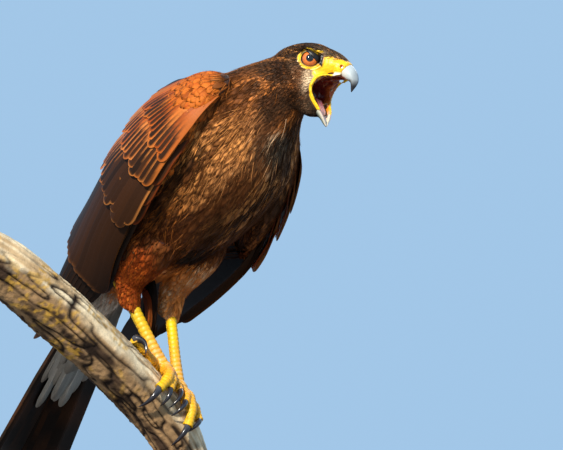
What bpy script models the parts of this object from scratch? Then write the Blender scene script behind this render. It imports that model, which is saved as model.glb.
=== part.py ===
"""A life-size still model of a Harris's hawk, calling with its bill wide open, on a slanted length of branch
held by a plain display stand.

World frame: +Z up, the origin at the centre of the base's underside, and the hawk seen from its right when
looked at along +Y. Every length below is in millimetres, and MM turns it into Blender's metres. The hawk has
a frame of its own: forward, left and up from the middle of its torso. The head has another, with its origin
midway between the eyes.
"""

import math
from functools import lru_cache, partial

import bmesh
import bpy
import numpy as np
from mathutils.bvhtree import BVHTree

MM = 0.001
GAP = 0.3  # between pieces that touch
VANE = 0.6  # a feather's thickness in the solids
TIP_THINNING = 0.6
LIFT = 0.25  # how far a feather is raised at a time to clear the ones below it
LIFT_STEPS = 16

# Where the hawk stands, and how it is turned
TORSO_CENTRE = np.array([0.0, 0.0, 284.0])
HEADING = math.radians(45)  # from +X towards -Y
HEAD_HEADING = math.radians(32)
HEAD_PITCH = math.radians(-6)
HEAD_ROLL = math.radians(8)  # its right side up
EYE_MIDDLE = (139.5, 15.5, 97.0)  # forward, left, up

# Trunk: forward, left, up, half width, half depth towards the back and towards the belly, from the rump to
# the back of the head
TRUNK = [
    (-104, 0, -76, 13, 10, 11),
    (-88, 0, -62, 29, 22, 24),
    (-58, 0, -40, 47, 38, 42),
    (-20, 0, -12, 59, 50, 56),
    (20, 0, 17, 63, 54, 63),
    (56, 0, 48, 60, 49, 63),
    (86, 1, 69, 42, 34, 45),
    (106, 5, 82, 31, 25, 33),
    (122, 8, 90, 25, 21, 27),
]
NECK_STATION = 6.35  # where the neck leaves the torso, counted in trunk stations
STATION_LENGTH = 27.0  # from one of those stations to the next, at the neck
TRUNK_SIDES = 24

# Head: distance forward of the eyes, top, bottom, half width
CRANIUM = [
    (-36, 9.6, -20, 15),
    (-28, 13.2, -26, 20),
    (-18, 16.0, -28, 23),
    (-7, 16.8, -26, 23.5),
    (3, 15.2, -21, 21.5),
    (10, 11.9, -17.5, 17.5),
    (16, 7.9, -15.5, 13.8),
    (21.5, 3.8, -14.2, 10.8),
    (28.2, -1.2, -13.2, 8.0),
]
CERE_LEAN = 0.4  # how far the cere's front edge leans back downwards
# Cheeks: up of the eyes, front, back, half width
CHEEKS = [
    (-8, 8, -28, 20.0),
    (-14, 16, -28, 18.6),
    (-20, 15, -27, 18.2),
    (-26, 12, -25, 17.7),
    (-31, 8.6, -22, 15.3),
    (-36, 6, -18, 13.0),
    (-41, 5, -11, 10.5),
    (-44, 4, -6, 8.0),
]
# The open mouth's edge from the bill's base round the corner to the jaw, forward and up
RIM = [
    (27.0, -11.6),
    (18.0, -13.0),
    (11.5, -14.6),
    (7.2, -17.8),
    (4.9, -22.6),
    (4.6, -28.0),
    (7.6, -34.5),
    (11.6, -40.0),
]
# The mouth's hollow: forward and up of its middle, half width, height above and below
HOLLOW = [
    (30, -30, 11.5, 17.0, 12.0),
    (18, -28, 13.2, 17.4, 10.0),
    (9, -27, 14.2, 14.7, 8.1),
    (1, -26.5, 13.8, 10.4, 6.5),
    (-7, -27, 10.5, 6.5, 5.0),
    (-13, -28, 6.5, 4.5, 3.5),
]
LINING = 1.1
EYE = (-1.6, 12.4, -1.4)
EYE_TURN = math.radians(27)  # the eyes look this far forwards of sideways
EYE_RADIUS = 9.2
EYE_FACETS = (12, 8)
LID = 1.4
LID_OPENING = 7.4  # half the width between the lids' corners
UPPER_LID_SHARE = 0.8
LOWER_LID_SHARE = 0.9
NOSTRIL = [
    # forward, distance from the middle, up, and the radius
    (26.2, 12.0, -4.8, 1.5),
    (25.6, 5.4, -5.2, 1.2),
]
BILL_UPPER = [
    # forward and up of the culmen, then of the cutting edge, and the half width
    ((28.2, 0.4), (24.8, -13.0), 8.4),
    ((33.0, -3.2), (28.2, -14.4), 7.2),
    ((37.2, -8.0), (31.2, -15.4), 5.8),
    ((39.2, -13.4), (32.8, -16.4), 4.4),
    ((38.6, -17.3), (33.4, -18.2), 3.1),
    ((36.8, -20.8), (33.8, -21.2), 1.8),
    ((34.9, -23.8), (34.3, -23.9), 0.5),
]
BILL_PALATE = [
    # forward and up of the middle, and the half width
    (22.0, -15.6, 6.0),
    (28.0, -15.8, 5.0),
    (31.0, -17.0, 3.2),
    (32.6, -18.8, 1.6),
]
PALATE_HEIGHT = 3.2
JAW = [
    # forward and up of the inner edge, then of the underside, and the half width
    ((5.0, -30.0), (-4.0, -37.5), 15.5),
    ((8.2, -35.6), (1.8, -41.4), 13.4),
    ((11.6, -40.2), (6.4, -44.8), 10.8),
    ((13.0, -42.6), (8.8, -46.8), 9.2),
    ((14.6, -46.0), (11.4, -49.4), 6.8),
    ((15.6, -49.6), (13.4, -52.0), 4.0),
    ((16.2, -53.4), (15.6, -54.0), 0.8),
]
JAW_WALL = 1.7
JAW_HORN_STATION = 2.6  # where the jaw's skin gives way to horn
JAW_SEAM = 0.03  # how far each stays from that station
TONGUE_DEPTH = 2.0  # how far the tongue lies below the jaw's rims
TONGUE = [
    # station along the jaw, half width, half height
    (0.1, 6.4, 1.6),
    (1.2, 6.0, 2.0),
    (2.0, 4.8, 1.8),
    (2.6, 3.4, 1.3),
    (3.0, 1.6, 0.8),
]
BROW = [
    # forward, distance from the middle, up, and the radius
    (15, 12.8, 3.4, 1.3),
    (7, 17.2, 6.4, 2.4),
    (-3, 20.2, 7.6, 2.7),
    (-12, 20.8, 6.8, 1.2),
]

# Wings: distance from the wrist, then the mantle's centre forward and up, half width, half depth towards the
# back and towards the belly, and the folded wing's lower and upper edge as angles round the body, from its
# side to its back. The left wing hangs a little lower and stands off the body.
RIGHT_WING = [
    (0, 92, 80, 42, 26, 26, -10, 30),
    (25, 76, 68, 56, 36, 36, -16, 50),
    (60, 50, 44, 67, 54, 54, -18, 60),
    (120, 6, 6, 73, 61, 61, -23, 66),
    (180, -40, -30, 67, 52, 52, -32, 66),
    (240, -88, -62, 55, 39, 39, -50, 60),
    (290, -128, -100, 45, 25, 25, -42, 50),
    (330, -165, -131, 38, 17, 17, -20, 40),
]
LEFT_WING = [
    (0, 78, 65, 40, 30, 46, -20, 24),
    (25, 64, 54, 52, 40, 60, -27, 40),
    (60, 38, 32, 65, 50, 70, -38, 48),
    (120, -8, -6, 77, 56, 82, -40, 46),
    (180, -52, -43, 78, 52, 84, -31, 42),
    (240, -98, -79, 62, 40, 72, -32, 36),
    (290, -133, -115, 48, 28, 52, -32, 26),
    (330, -163, -146, 36, 20, 36, -34, 10),
]
WINGS = {"right": (-1, RIGHT_WING), "left": (1, LEFT_WING)}
FEATHER_STEP = 1.15  # the rise from one feather of a tier to the next
STEEPEST_TILT = 0.45
NARROWEST_TIP = 0.14  # a feather's width at its very tip, as a share of its full width
THUMB_FEATHERS = 2
SCAPULARS = 4
WING_CORE = [
    # distance from the wrist, lower and upper edge across, height of its top and depth of its underside
    (2, 0.25, 0.8, 2.0, 5),
    (8, 0.08, 0.94, 4.5, 9),
    (22, -0.04, 1.06, 7.0, 16),
    (45, -0.1, 1.12, 8.2, 22),
    (75, -0.1, 1.14, 7.6, 24),
    (100, -0.06, 1.12, 5.4, 20),
    (125, 0.02, 1.02, 2.6, 14),
    (148, 0.1, 0.9, -0.8, 6),
]
WING_CORE_COLUMNS = 10

# Tail
TAIL_ROOT = (-93.0, 0.0, -56.0)
TAIL_PITCH = math.radians(51.6)
TAIL_LENGTH = 232.0
TAIL_PAIRS = 6
TAIL_WIDTH = 37.0
TAIL_ARCH = 0.004  # how fast its sides fall away from its middle
TAIL_LAYER = VANE + 1.2 * GAP  # from one quill to the one under it
TAIL_CORE_DROP = -3.0
TAIL_CORE = [
    # distance from the root, half width, half depth
    (-16, 16, 13),
    (0, 21.6, 12.0),
    (22, 24, 10.4),
    (45, 23, 8),
    (66, 17, 4.5),
]
TAIL_COVERTS = [
    # root and tip as (along, across), half width, and layers over the middle pair of quills
    ((2, -11.0), (88, -13.6), 10.7, 2.5),
    ((2, -10.6), (104, -14.0), 11.0, -6.7),
    ((2, 11.0), (88, 13.6), 10.7, 2.5),
    ((2, 10.6), (104, 14.0), 11.0, -6.7),
    ((2, 0.0), (98, 0.0), 10.0, 3.6),
]

# Legs: ankle and foot of each side, forward, left, up
LEGS = {
    "right": ((-47.5, -33.0, -83.0), (-14.0, -24.0, -160.0)),
    "left": ((-48.5, 20.0, -87.0), (-11.5, 0.0, -167.0)),
}
HIP = (-14, 28, -34)  # forward, distance from the middle, up
THIGH = [
    # share of the way from hip to ankle, half width, half depth
    (0.0, 22, 30),
    (0.3, 23, 29),
    (0.6, 18, 22),
    (0.85, 13, 15.0),
    (0.98, 10.5, 11.5),
    (1.06, 8.8, 9.4),
]
THIGH_BEND = 0.85  # the share of its length from which a thigh turns towards the foot
SHANK_RADIUS = 5.6
SHANK = [
    # share of the way from ankle to foot, and the radius there as a share of SHANK_RADIUS
    (-0.05, 1.15),
    (0.15, 1.0),
    (0.45, 0.92),
    (0.75, 0.96),
    (0.94, 1.12),
]
PAD_RADIUS = 7.8
# Toes of each foot: name, swing round the branch at the toe's root and tip in degrees, drift up the branch at
# its tip, radius at root and tip, then the claw's swing and drift
TOES = {
    "right": [
        ("inner", 8, 91, 6, 5.2, 4.3, 49, -1),
        ("middle", 8, 74, -3, 5.0, 3.9, 34, -4),
        ("outer", 2, 50, -14, 4.4, 3.5, 48, 0),
        ("hind", -8, 6, 41, 4.8, 4.2, 34, -11),
    ],
    "left": [
        ("inner", 6, 66, -3, 4.7, 3.9, 40, 1),
        ("middle", 6, 94, -17.5, 5.2, 4.1, 46, -5),
        ("outer", 0, 60, -24, 4.7, 3.8, 40, 2),
        ("hind", -10, -74, 3, 4.9, 4.2, 46, 2),
    ],
}
TOE_ROWS = 5
CLAW_ROWS = 5
CLAW_ARCH = 3.5  # how high a claw's middle stands over the bark
CLAW_CLEARANCE = 0.9  # how high its point does
CLAW_WIDTH = 0.82  # its thickness at its root, as a share of the toe's
CLAW_POINT = 0.35  # the radius of its point

# Branch: its middle line in the world, from the cut lower end to the upper one, and its radius there
BRANCH = [
    ((1, 9, 41), 21),
    ((-15, -3, 78), 22),
    ((-38, -17, 108), 23),
    ((-65, -38, 137), 23.5),
    ((-93, -59, 164), 24),
    ((-121, -80, 188), 24.5),
    ((-148, -98, 209), 24.5),
    ((-171, -112, 224), 23),
]
BRANCH_SIDES = 14
BRANCH_RINGS = 20
BRANCH_POINTS = 200  # on its middle line, where a place on it is looked up
BARK_SWELL = 1.05  # the bark's highest ridges, as a share of the branch's radius

# Stand
BASE_RADIUS = 115.0
BASE_HEIGHT = 15.0
BASE_EDGE = 3.0
ROD_RADIUS = 6.0
ROD_SOCKET = 14.0  # how far the rod is let into the branch

FORWARD = np.array([math.cos(HEADING), -math.sin(HEADING), 0.0])
LEFT = np.array([math.sin(HEADING), math.cos(HEADING), 0.0])
UP = np.array([0.0, 0.0, 1.0])


def unit(v):
    v = np.asarray(v, float)
    return v / np.linalg.norm(v)


def bird(forward, left, up):
    """A point of the hawk's frame in the world."""
    return TORSO_CENTRE + forward * FORWARD + left * LEFT + up * UP


HEAD_FORWARD = np.array(
    [
        math.cos(HEAD_HEADING) * math.cos(HEAD_PITCH),
        -math.sin(HEAD_HEADING) * math.cos(HEAD_PITCH),
        math.sin(HEAD_PITCH),
    ]
)
LEVEL_LEFT = np.array([math.sin(HEAD_HEADING), math.cos(HEAD_HEADING), 0.0])
HEAD_LEFT = LEVEL_LEFT * math.cos(HEAD_ROLL) - np.cross(HEAD_FORWARD, LEVEL_LEFT) * math.sin(HEAD_ROLL)
HEAD_UP = np.cross(HEAD_FORWARD, HEAD_LEFT)


def head(forward, left, up):
    """A point of the head's frame in the world."""
    return bird(*EYE_MIDDLE) + forward * HEAD_FORWARD + left * HEAD_LEFT + up * HEAD_UP


def smooth(keys, values, at):
    """Reads a table at any place between its keys, on a smooth curve through its values."""
    keys = np.asarray(keys, float)
    values = np.asarray(values, float)
    slopes = np.gradient(values, keys, axis=0)
    i = int(np.clip(np.searchsorted(keys, at) - 1, 0, len(keys) - 2))
    span = keys[i + 1] - keys[i]
    t = min(max((at - keys[i]) / span, 0.0), 1.0)
    return (
        (2 * t**3 - 3 * t**2 + 1) * values[i]
        + (t**3 - 2 * t**2 + t) * span * slopes[i]
        + (3 * t**2 - 2 * t**3) * values[i + 1]
        + (t**3 - t**2) * span * slopes[i + 1]
    )


def material(name, colour, roughness=0.7, metallic=0.0):
    made = bpy.data.materials.get(name) or bpy.data.materials.new(name)
    made.use_nodes = True
    shader = made.node_tree.nodes["Principled BSDF"]
    shader.inputs["Base Color"].default_value = (*colour, 1.0)
    shader.inputs["Roughness"].default_value = roughness
    shader.inputs["Metallic"].default_value = metallic
    made.diffuse_color = (*colour, 1.0)
    return made


def mesh_object(name, points, faces, collection):
    mesh = bpy.data.meshes.new(name)
    mesh.from_pydata([tuple(np.asarray(p) * MM) for p in points], [], faces)
    mesh.update()
    made = bpy.data.objects.new(name, mesh)
    collection.objects.link(made)
    return made


def loft(name, rings, collection):
    """A closed body through rings of points, alike in number, with a fan over each end."""
    sides = len(rings[0])
    points = [p for ring in rings for p in ring]
    faces = []
    for r in range(len(rings) - 1):
        for s in range(sides):
            a, b = r * sides + s, r * sides + (s + 1) % sides
            faces.append((a, b, b + sides, a + sides))
    for ring, flip in ((0, True), (len(rings) - 1, False)):
        middle = len(points)
        points.append(np.mean(rings[ring], axis=0))
        for s in range(sides):
            a, b = ring * sides + s, ring * sides + (s + 1) % sides
            faces.append((b, a, middle) if flip else (a, b, middle))
    made = mesh_object(name, points, faces, collection)
    face_out(made)
    return made


def face_out(obj):
    """Turns the faces outwards."""
    mesh = bmesh.new()
    mesh.from_mesh(obj.data)
    bmesh.ops.recalc_face_normals(mesh, faces=mesh.faces)
    if mesh.calc_volume(signed=True) < 0:
        bmesh.ops.reverse_faces(mesh, faces=mesh.faces)
    mesh.to_mesh(obj.data)
    mesh.free()


def stretched(rings, by):
    """Rings with the first and the last one moved outwards, so that a cutter clears a body's ends too."""
    middles = [np.mean(ring, axis=0) for ring in rings]
    rings = [np.array(ring) for ring in rings]
    rings[0] += unit(middles[0] - middles[1]) * by
    rings[-1] += unit(middles[-1] - middles[-2]) * by
    return rings


def oval(centre, across, over, half_width, above, below, sides):
    """A ring: half_width along across, and above or below along over."""
    ring = []
    for s in range(sides):
        a = 2 * math.pi * s / sides
        height = above if math.sin(a) > 0 else below
        ring.append(centre + across * half_width * math.cos(a) + over * height * math.sin(a))
    return np.array(ring)


def tube(name, points, radii, sides, collection, grow=0.0):
    """A round tapered bar along a line of points."""
    points = [np.asarray(p, float) for p in points]
    rings = []
    across = None
    for i, point in enumerate(points):
        along = unit(points[min(i + 1, len(points) - 1)] - points[max(i - 1, 0)])
        if across is None:
            helper = UP if abs(along[2]) < 0.9 else FORWARD
            across = unit(np.cross(along, helper))
        across = unit(across - along * (across @ along))
        over = np.cross(along, across)
        radius = radii[i] + grow
        rings.append(oval(point, across, over, radius, radius, radius, sides))
    return loft(name, stretched(rings, grow), collection)


def moved_to(obj, collection):
    """Moves an object to a collection, with its scale and place applied to its mesh."""
    bpy.context.view_layer.update()
    obj.data.transform(obj.matrix_world)
    obj.matrix_world.identity()
    for old in obj.users_collection:
        old.objects.unlink(obj)
    collection.objects.link(obj)
    return obj


def ball(name, centre, radius, collection, segments=16, rings=10):
    bpy.ops.mesh.primitive_uv_sphere_add(
        segments=segments, ring_count=rings, radius=radius * MM, location=np.asarray(centre) * MM
    )
    made = bpy.context.object
    made.name = name
    return moved_to(made, collection)


def evaluated(obj):
    """Replaces an object's mesh by what its modifiers make of it."""
    graph = bpy.context.evaluated_depsgraph_get()
    mesh = bpy.data.meshes.new_from_object(obj.evaluated_get(graph))
    obj.modifiers.clear()
    obj.data = mesh


def boolean(obj, operation, others, solver="EXACT"):
    """Joins others to an object, or cuts them from it, and removes them."""
    if not others:
        return
    tools = bpy.data.collections.new("tools")
    bpy.context.scene.collection.children.link(tools)
    for other in others:
        for old in other.users_collection:
            old.objects.unlink(other)
        tools.objects.link(other)
    modifier = obj.modifiers.new(operation, "BOOLEAN")
    modifier.operation = operation
    modifier.operand_type = "COLLECTION"
    modifier.collection = tools
    modifier.solver = solver
    evaluated(obj)
    for other in others:
        bpy.data.objects.remove(other)
    bpy.data.collections.remove(tools)


def keep_largest(obj):
    """Drops every closed surface but the largest."""
    mesh = bmesh.new()
    mesh.from_mesh(obj.data)
    bmesh.ops.remove_doubles(mesh, verts=mesh.verts, dist=1e-7)
    unseen = set(mesh.faces)
    shells = []
    while unseen:
        front = [unseen.pop()]
        shell = list(front)
        while front:
            for edge in front.pop().edges:
                for face in edge.link_faces:
                    if face in unseen:
                        unseen.remove(face)
                        shell.append(face)
                        front.append(face)
        shells.append(shell)
    shells.sort(key=volume_of, reverse=True)
    for shell in shells[1:]:
        bmesh.ops.delete(mesh, geom=shell, context="FACES")
    mesh.normal_update()
    keep_diagonals_apart(mesh)
    bmesh.ops.triangulate(mesh, faces=mesh.faces)
    mesh.to_mesh(obj.data)
    mesh.free()


def keep_diagonals_apart(mesh):
    """Splits the faces that would be cut into triangles along a line that a neighbour is cut along too,
    because four triangles would then meet on one edge."""
    for _ in range(4):
        mesh.verts.index_update()
        triangles = mesh.copy()
        bmesh.ops.triangulate(triangles, faces=triangles.faces)
        shared = [[v.index for v in edge.verts] for edge in triangles.edges if not edge.is_manifold]
        triangles.free()
        mesh.verts.ensure_lookup_table()
        for ends in shared:
            first, second = (mesh.verts[i] for i in ends)
            for face in list(first.link_faces):
                corners = list(face.verts)
                if second not in corners:
                    continue
                i, j = sorted((corners.index(first), corners.index(second)))
                choices = [(c, d) for c in range(i + 1, j) for d in (*range(j + 1, len(corners)), *range(i))]
                if choices:
                    c, d = max(choices, key=partial(smaller_part, face))
                    bmesh.utils.face_split(face, corners[c], corners[d])
                    break
        if not shared:
            break


def smaller_part(face, ends):
    """The area of the smaller part that a line between two corners cuts off a face."""
    low, high = sorted(ends)
    corners = [v.co for v in face.verts]
    areas = []
    for part in (corners[low : high + 1], corners[high:] + corners[: low + 1]):
        total = sum((part[k].cross(part[(k + 1) % len(part)]) for k in range(len(part))), face.normal * 0.0)
        areas.append(total.dot(face.normal))
    return min(areas)


def volume_of(faces):
    total = 0.0
    for face in faces:
        corners = [v.co for v in face.verts]
        for i in range(1, len(corners) - 1):
            total += corners[0].dot(corners[i].cross(corners[i + 1]))
    return total


def finish(obj, name, looks, join=(), cut=(), solver="EXACT"):
    """Makes a node of an object: joins, cuts, keeps one closed body and gives it its name and material."""
    boolean(obj, "UNION", list(join), solver)
    boolean(obj, "DIFFERENCE", list(cut), solver)
    keep_largest(obj)
    obj.name = name
    obj.data.name = name
    obj.data.materials.clear()
    obj.data.materials.append(looks)
    obj.data.shade_smooth()
    obj.data.set_sharp_from_angle(angle=math.radians(40))
    return obj


def trunk_rings(first, last, count, grow=0.0):
    """Rings of the trunk between two stations."""
    keys = range(len(TRUNK))
    rings = []
    for station in np.linspace(first, last, count):
        forward, left, up, width, back, belly = smooth(keys, TRUNK, station)
        ahead = smooth(keys, TRUNK, min(station + 0.2, len(TRUNK) - 1))
        behind = smooth(keys, TRUNK, max(station - 0.2, 0))
        along = unit(ahead[:3] - behind[:3])
        across = unit(np.array([0.0, 1.0, 0.0]) - along * along[1])
        over = np.cross(along, across)
        centre = np.array([forward, left, up])
        ring = oval(centre, across, over, width + grow, back + grow, belly + grow, TRUNK_SIDES)
        rings.append(np.array([bird(*p) for p in ring]))
    return rings


def make_torso(parts, feathers):
    """The torso, from the rump to the base of the neck."""
    torso = loft("torso", trunk_rings(0, NECK_STATION, 12), parts)
    return finish(torso, "torso", feathers)


def torso_cutter(tools, clear=GAP):
    return loft("torso_cutter", stretched(trunk_rings(0, NECK_STATION, 12, clear), clear), tools)


def make_neck(parts, tools, feathers):
    """The neck, from a hair's breadth past the torso to inside the head."""
    start = NECK_STATION + GAP / STATION_LENGTH
    neck = loft("neck", trunk_rings(start, len(TRUNK) - 1, 6), parts)
    return finish(neck, "neck", feathers)


def neck_cutter(tools):
    return loft("neck_cutter", stretched(trunk_rings(NECK_STATION, len(TRUNK) - 1, 7, GAP), GAP), tools)


def squarish(centre, across, over, half_width, half_height, sides):
    """A ring between an oval and a box."""
    ring = []
    for s in range(sides):
        a = 2 * math.pi * s / sides
        x = math.copysign(abs(math.cos(a)) ** 0.5, math.cos(a))
        y = math.copysign(abs(math.sin(a)) ** 0.5, math.sin(a))
        ring.append(centre + across * half_width * x + over * half_height * y)
    return np.array(ring)


def profile_row(table, key):
    """A section of the bill or jaw: its upper and lower point and half width."""
    row = smooth(range(len(table)), [(*a, *b, width) for a, b, width in table], key)
    return head(row[0], 0, row[1]), head(row[2], 0, row[3]), row[4]


def profile_rings(table, keys, sides, grow=0.0):
    """Rings of the bill or jaw."""
    rings = []
    for key in keys:
        top, bottom, width = profile_row(table, key)
        half = np.linalg.norm(top - bottom) / 2 + grow
        rings.append(oval((top + bottom) / 2, HEAD_LEFT, unit(top - bottom), width + grow, half, half, sides))
    return rings


def cranium_rings(grow=0.0):
    keys = [row[0] for row in CRANIUM]
    rings = []
    for forward in np.linspace(keys[0], keys[-1], 10):
        _, top, bottom, width = smooth(keys, CRANIUM, forward)
        middle = head(forward, 0, (top + bottom) / 2)
        half = (top - bottom) / 2 + grow
        lean = CERE_LEAN * min(max((forward - 8) / 20, 0), 1)
        rings.append(oval(middle, HEAD_LEFT, HEAD_UP + HEAD_FORWARD * lean, width + grow, half, half, 18))
    return rings


def hollow_rings(shrink=0.0):
    """The mouth's hollow, back into the throat."""
    rings = []
    for forward, up, width, above, below in HOLLOW:
        middle = head(forward, 0, up)
        rings.append(oval(middle, HEAD_LEFT, HEAD_UP, width - shrink, above - shrink, below - shrink, 16))
    return rings


def rim_cutter(tools, back=0.0):
    """What lies in front of the open mouth's edge, over the head's whole width."""
    reach = 34.0
    outline = [(forward - back, up) for forward, up in RIM] + [(50.0, -46.0), (50.0, -13.0)]
    rings = [[head(forward, side * reach, up) for forward, up in outline] for side in (-1, 1)]
    return loft("rim_cutter", rings, tools)


def jaw_rings(first, last, count, grow=0.0, lower=0.0):
    """Rings of the jaw, each a half oval under a flat top that joins its rims."""
    sides = 10
    rings = []
    for key in np.linspace(first, last, count):
        top, bottom, width = profile_row(JAW, key)
        over = unit(top - bottom)
        depth = np.linalg.norm(top - bottom) + grow
        width = max(width + grow, 0.3)
        angles = [math.pi * (1 + s / sides) for s in range(sides + 1)]
        ring = [top + HEAD_LEFT * width * math.cos(a) + over * (depth * math.sin(a)) for a in angles]
        lid = top + over * (grow + lower)
        rings.append(np.array(ring + [lid + HEAD_LEFT * width * share for share in (1, 0.4, -0.4, -1)]))
    return rings


def jaw_cutter(tools):
    return loft("jaw_cutter", stretched(jaw_rings(0, len(JAW) - 1, 13, GAP), GAP), tools)


def make_eyes(parts, tools, eye):
    """Both eyes. Returns the lids, the brows and what is cut for the eyes and nostrils."""
    joined, cuts = [], []
    for side, mark in (("right", -1), ("left", 1)):
        line = [head(forward, mark * out, up) for forward, out, up, _ in BROW]
        joined.append(tube("brow", line, [row[3] for row in BROW], 7, tools))
        centre = head(EYE[0], mark * EYE[1], EYE[2])
        joined.append(ball("lid", centre, EYE_RADIUS + LID, tools, 14, 8))
        cuts.append(ball("socket", centre, EYE_RADIUS + GAP, tools, *EYE_FACETS))
        outwards = HEAD_LEFT * mark * math.cos(EYE_TURN) + HEAD_FORWARD * math.sin(EYE_TURN)
        across = np.cross(outwards, HEAD_UP)
        above, below = LID_OPENING * UPPER_LID_SHARE, LID_OPENING * LOWER_LID_SHARE
        opening = []
        for reach in (2, 20):
            middle = centre + outwards * reach
            opening.append(oval(middle, across, HEAD_UP, LID_OPENING, above, below, 14))
        cuts.append(loft("lid_opening", opening, tools))
        nostril = [head(forward, mark * out, up) for forward, out, up, _ in NOSTRIL]
        cuts.append(tube("nostril", nostril, [row[3] for row in NOSTRIL], 8, tools))
        finish(ball("eye_" + side, centre, EYE_RADIUS, parts, *EYE_FACETS), "eye_" + side, eye)
    return joined, cuts


def make_head(parts, tools, skin, horn, flesh, eye):
    """The head with its brows, lids, nostrils and open mouth, the mouth's lining, the bill, the jaw and the
    tongue."""
    cranium = loft("head", cranium_rings(), parts)
    cheek_rings = []
    for up, front, back, width in CHEEKS:
        middle = head((front + back) / 2, 0, up)
        cheek_rings.append(squarish(middle, HEAD_LEFT, HEAD_FORWARD, width, (front - back) / 2, 16))
    joined, cuts = make_eyes(parts, tools, eye)
    joined.append(loft("cheeks", cheek_rings, tools))
    cuts += [neck_cutter(tools), rim_cutter(tools), jaw_cutter(tools), tongue_body(tools, GAP)]
    cuts.append(loft("hollow", hollow_rings(), tools))
    finish(cranium, "head", skin, joined, cuts)

    lining = loft("mouth_lining", hollow_rings(GAP), parts)
    inside = loft("inside", stretched(hollow_rings(GAP + LINING), LINING)[:-1], tools)
    lining_cuts = [inside, rim_cutter(tools, LINING), jaw_cutter(tools), neck_cutter(tools)]
    lining_cuts.append(tongue_body(tools, GAP))
    finish(lining, "mouth_lining", flesh, (), lining_cuts, "MANIFOLD")

    bill = loft("bill_upper", profile_rings(BILL_UPPER, np.linspace(0, len(BILL_UPPER) - 1, 13), 14), parts)
    palate = [
        oval(head(forward, 0, up), HEAD_LEFT, HEAD_UP, width, PALATE_HEIGHT, PALATE_HEIGHT, 12)
        for forward, up, width in BILL_PALATE
    ]
    cere = stretched(cranium_rings(GAP), GAP)
    finish(bill, "bill_upper", horn, (), [loft("palate", palate, tools), loft("cere_cutter", cere, tools)])

    # The lower jaw is a trough; its skin gives way to horn at the tip
    for name, looks, first, last in (
        ("jaw_lower", skin, 0.0, JAW_HORN_STATION - JAW_SEAM),
        ("bill_lower", horn, JAW_HORN_STATION + JAW_SEAM, len(JAW) - 1.0),
    ):
        jaw = loft(name, jaw_rings(first, last, 7, 0.0, 0.05), parts)
        trough = stretched(jaw_rings(0, len(JAW) - 1.6, 9, -JAW_WALL, 3 * JAW_WALL), 3.0)
        finish(jaw, name, looks, (), [loft("trough", trough, tools), neck_cutter(tools)])
    finish(tongue_body(parts), "tongue", flesh, (), [neck_cutter(tools)])


def tongue_body(collection, grow=0.0):
    """The tongue, along the bottom of the jaw."""
    rings = []
    for key, width, height in TONGUE:
        top, bottom, _ = profile_row(JAW, key)
        over = unit(top - bottom)
        middle = top - over * TONGUE_DEPTH
        rings.append(oval(middle, HEAD_LEFT, over, width + grow, height + grow, height + grow, 12))
    return loft("tongue", stretched(rings, grow), collection)


def wing_row(side, along):
    """The folded wing's section at a distance from the wrist: its centre, half width, half depths and edge
    angles."""
    table = WINGS[side][1]
    return smooth([row[0] for row in table], [row[1:] for row in table], along)


def wing_point(side, along, across, height):
    """A point on the folded wing: distance from the wrist, 0 to 1 from its lower edge to its upper, and
    height."""
    mark = WINGS[side][0]
    forward, up, width, back_depth, belly_depth, low, high = wing_row(side, along)
    ahead = wing_row(side, max(along - 6, 0))
    behind = wing_row(side, min(along + 6, WINGS[side][1][-1][0]))
    axis = unit(np.array([ahead[0] - behind[0], 0.0, ahead[1] - behind[1]]))
    outwards = np.array([0.0, mark, 0.0])
    backwards = unit(np.cross(axis, np.array([0.0, 1.0, 0.0])))
    angle = math.radians(low + (high - low) * across)
    depth = back_depth if angle > 0 else belly_depth
    centre = np.array([forward, 0.0, up])
    point = centre + outwards * width * math.cos(angle) + backwards * depth * math.sin(angle)
    normal = unit(outwards * math.cos(angle) / width + backwards * math.sin(angle) / depth)
    return bird(*(point + normal * height))


def wing_span(side, along):
    """The folded wing's width across, measured on its surface."""
    _, _, width, back_depth, belly_depth, low, high = wing_row(side, along)
    return (2 * width + back_depth + belly_depth) / 4 * math.radians(high - low)


def sheet(surface, rows):
    """The points and faces of a closed sheet through rows of places on a surface. A row is the places of its
    upper side and of its lower side, each (along, across, height)."""
    columns = len(rows[0][0])
    points, faces = [], []
    for upper, lower in rows:
        points += [surface(*place) for place in (*upper, *lower)]
    step = 2 * columns
    for r in range(len(rows) - 1):
        upper = [r * step + c for c in range(columns)]
        lower = [place + columns for place in upper]
        strips = [(upper[c], upper[c + 1], False) for c in range(columns - 1)]
        strips += [(lower[c], lower[c + 1], True) for c in range(columns - 1)]
        strips += [(lower[0], upper[0], False), (upper[-1], lower[-1], False)]
        for a, b, turned in strips:
            for triangle in ((a, b, b + step), (a, b + step, a + step)):
                faces.append(triangle[::-1] if turned else triangle)
    for r, turned in ((0, True), (len(rows) - 1, False)):
        for c in range(columns - 1):
            a = r * step + c
            quad = (a, a + 1, a + 1 + columns, a + columns)
            faces.append(quad[::-1] if turned else quad)
    return points, faces


def vane_rows(rows, thick, lift=0.0):
    """Rows of a vane: each row of places gives an upper and a lower side, thinner at the tip."""
    out = []
    for r, places in enumerate(rows):
        half = thick / 2 * (TIP_THINNING if r == len(rows) - 1 else 1.0)
        sides = []
        for side in (half, -half):
            sides.append([(along, across, height + lift + side) for along, across, height in places])
        out.append(sides)
    return out


def lay_vane(surface, rows, laid, collection):
    """Adds a feather as a thin sheet, raised in small steps until it clears the feathers already laid."""
    for step in range(LIFT_STEPS):
        lift = step * LIFT
        wide = BVHTree.FromPolygons(*sheet(surface, vane_rows(rows, VANE + 2 * GAP, lift)))
        if not any(wide.overlap(other) for other in laid):
            break
    points, faces = sheet(surface, vane_rows(rows, VANE, lift))
    laid.append(BVHTree.FromPolygons(points, faces))
    made = mesh_object("feather", points, faces, collection)
    face_out(made)
    return made


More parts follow.
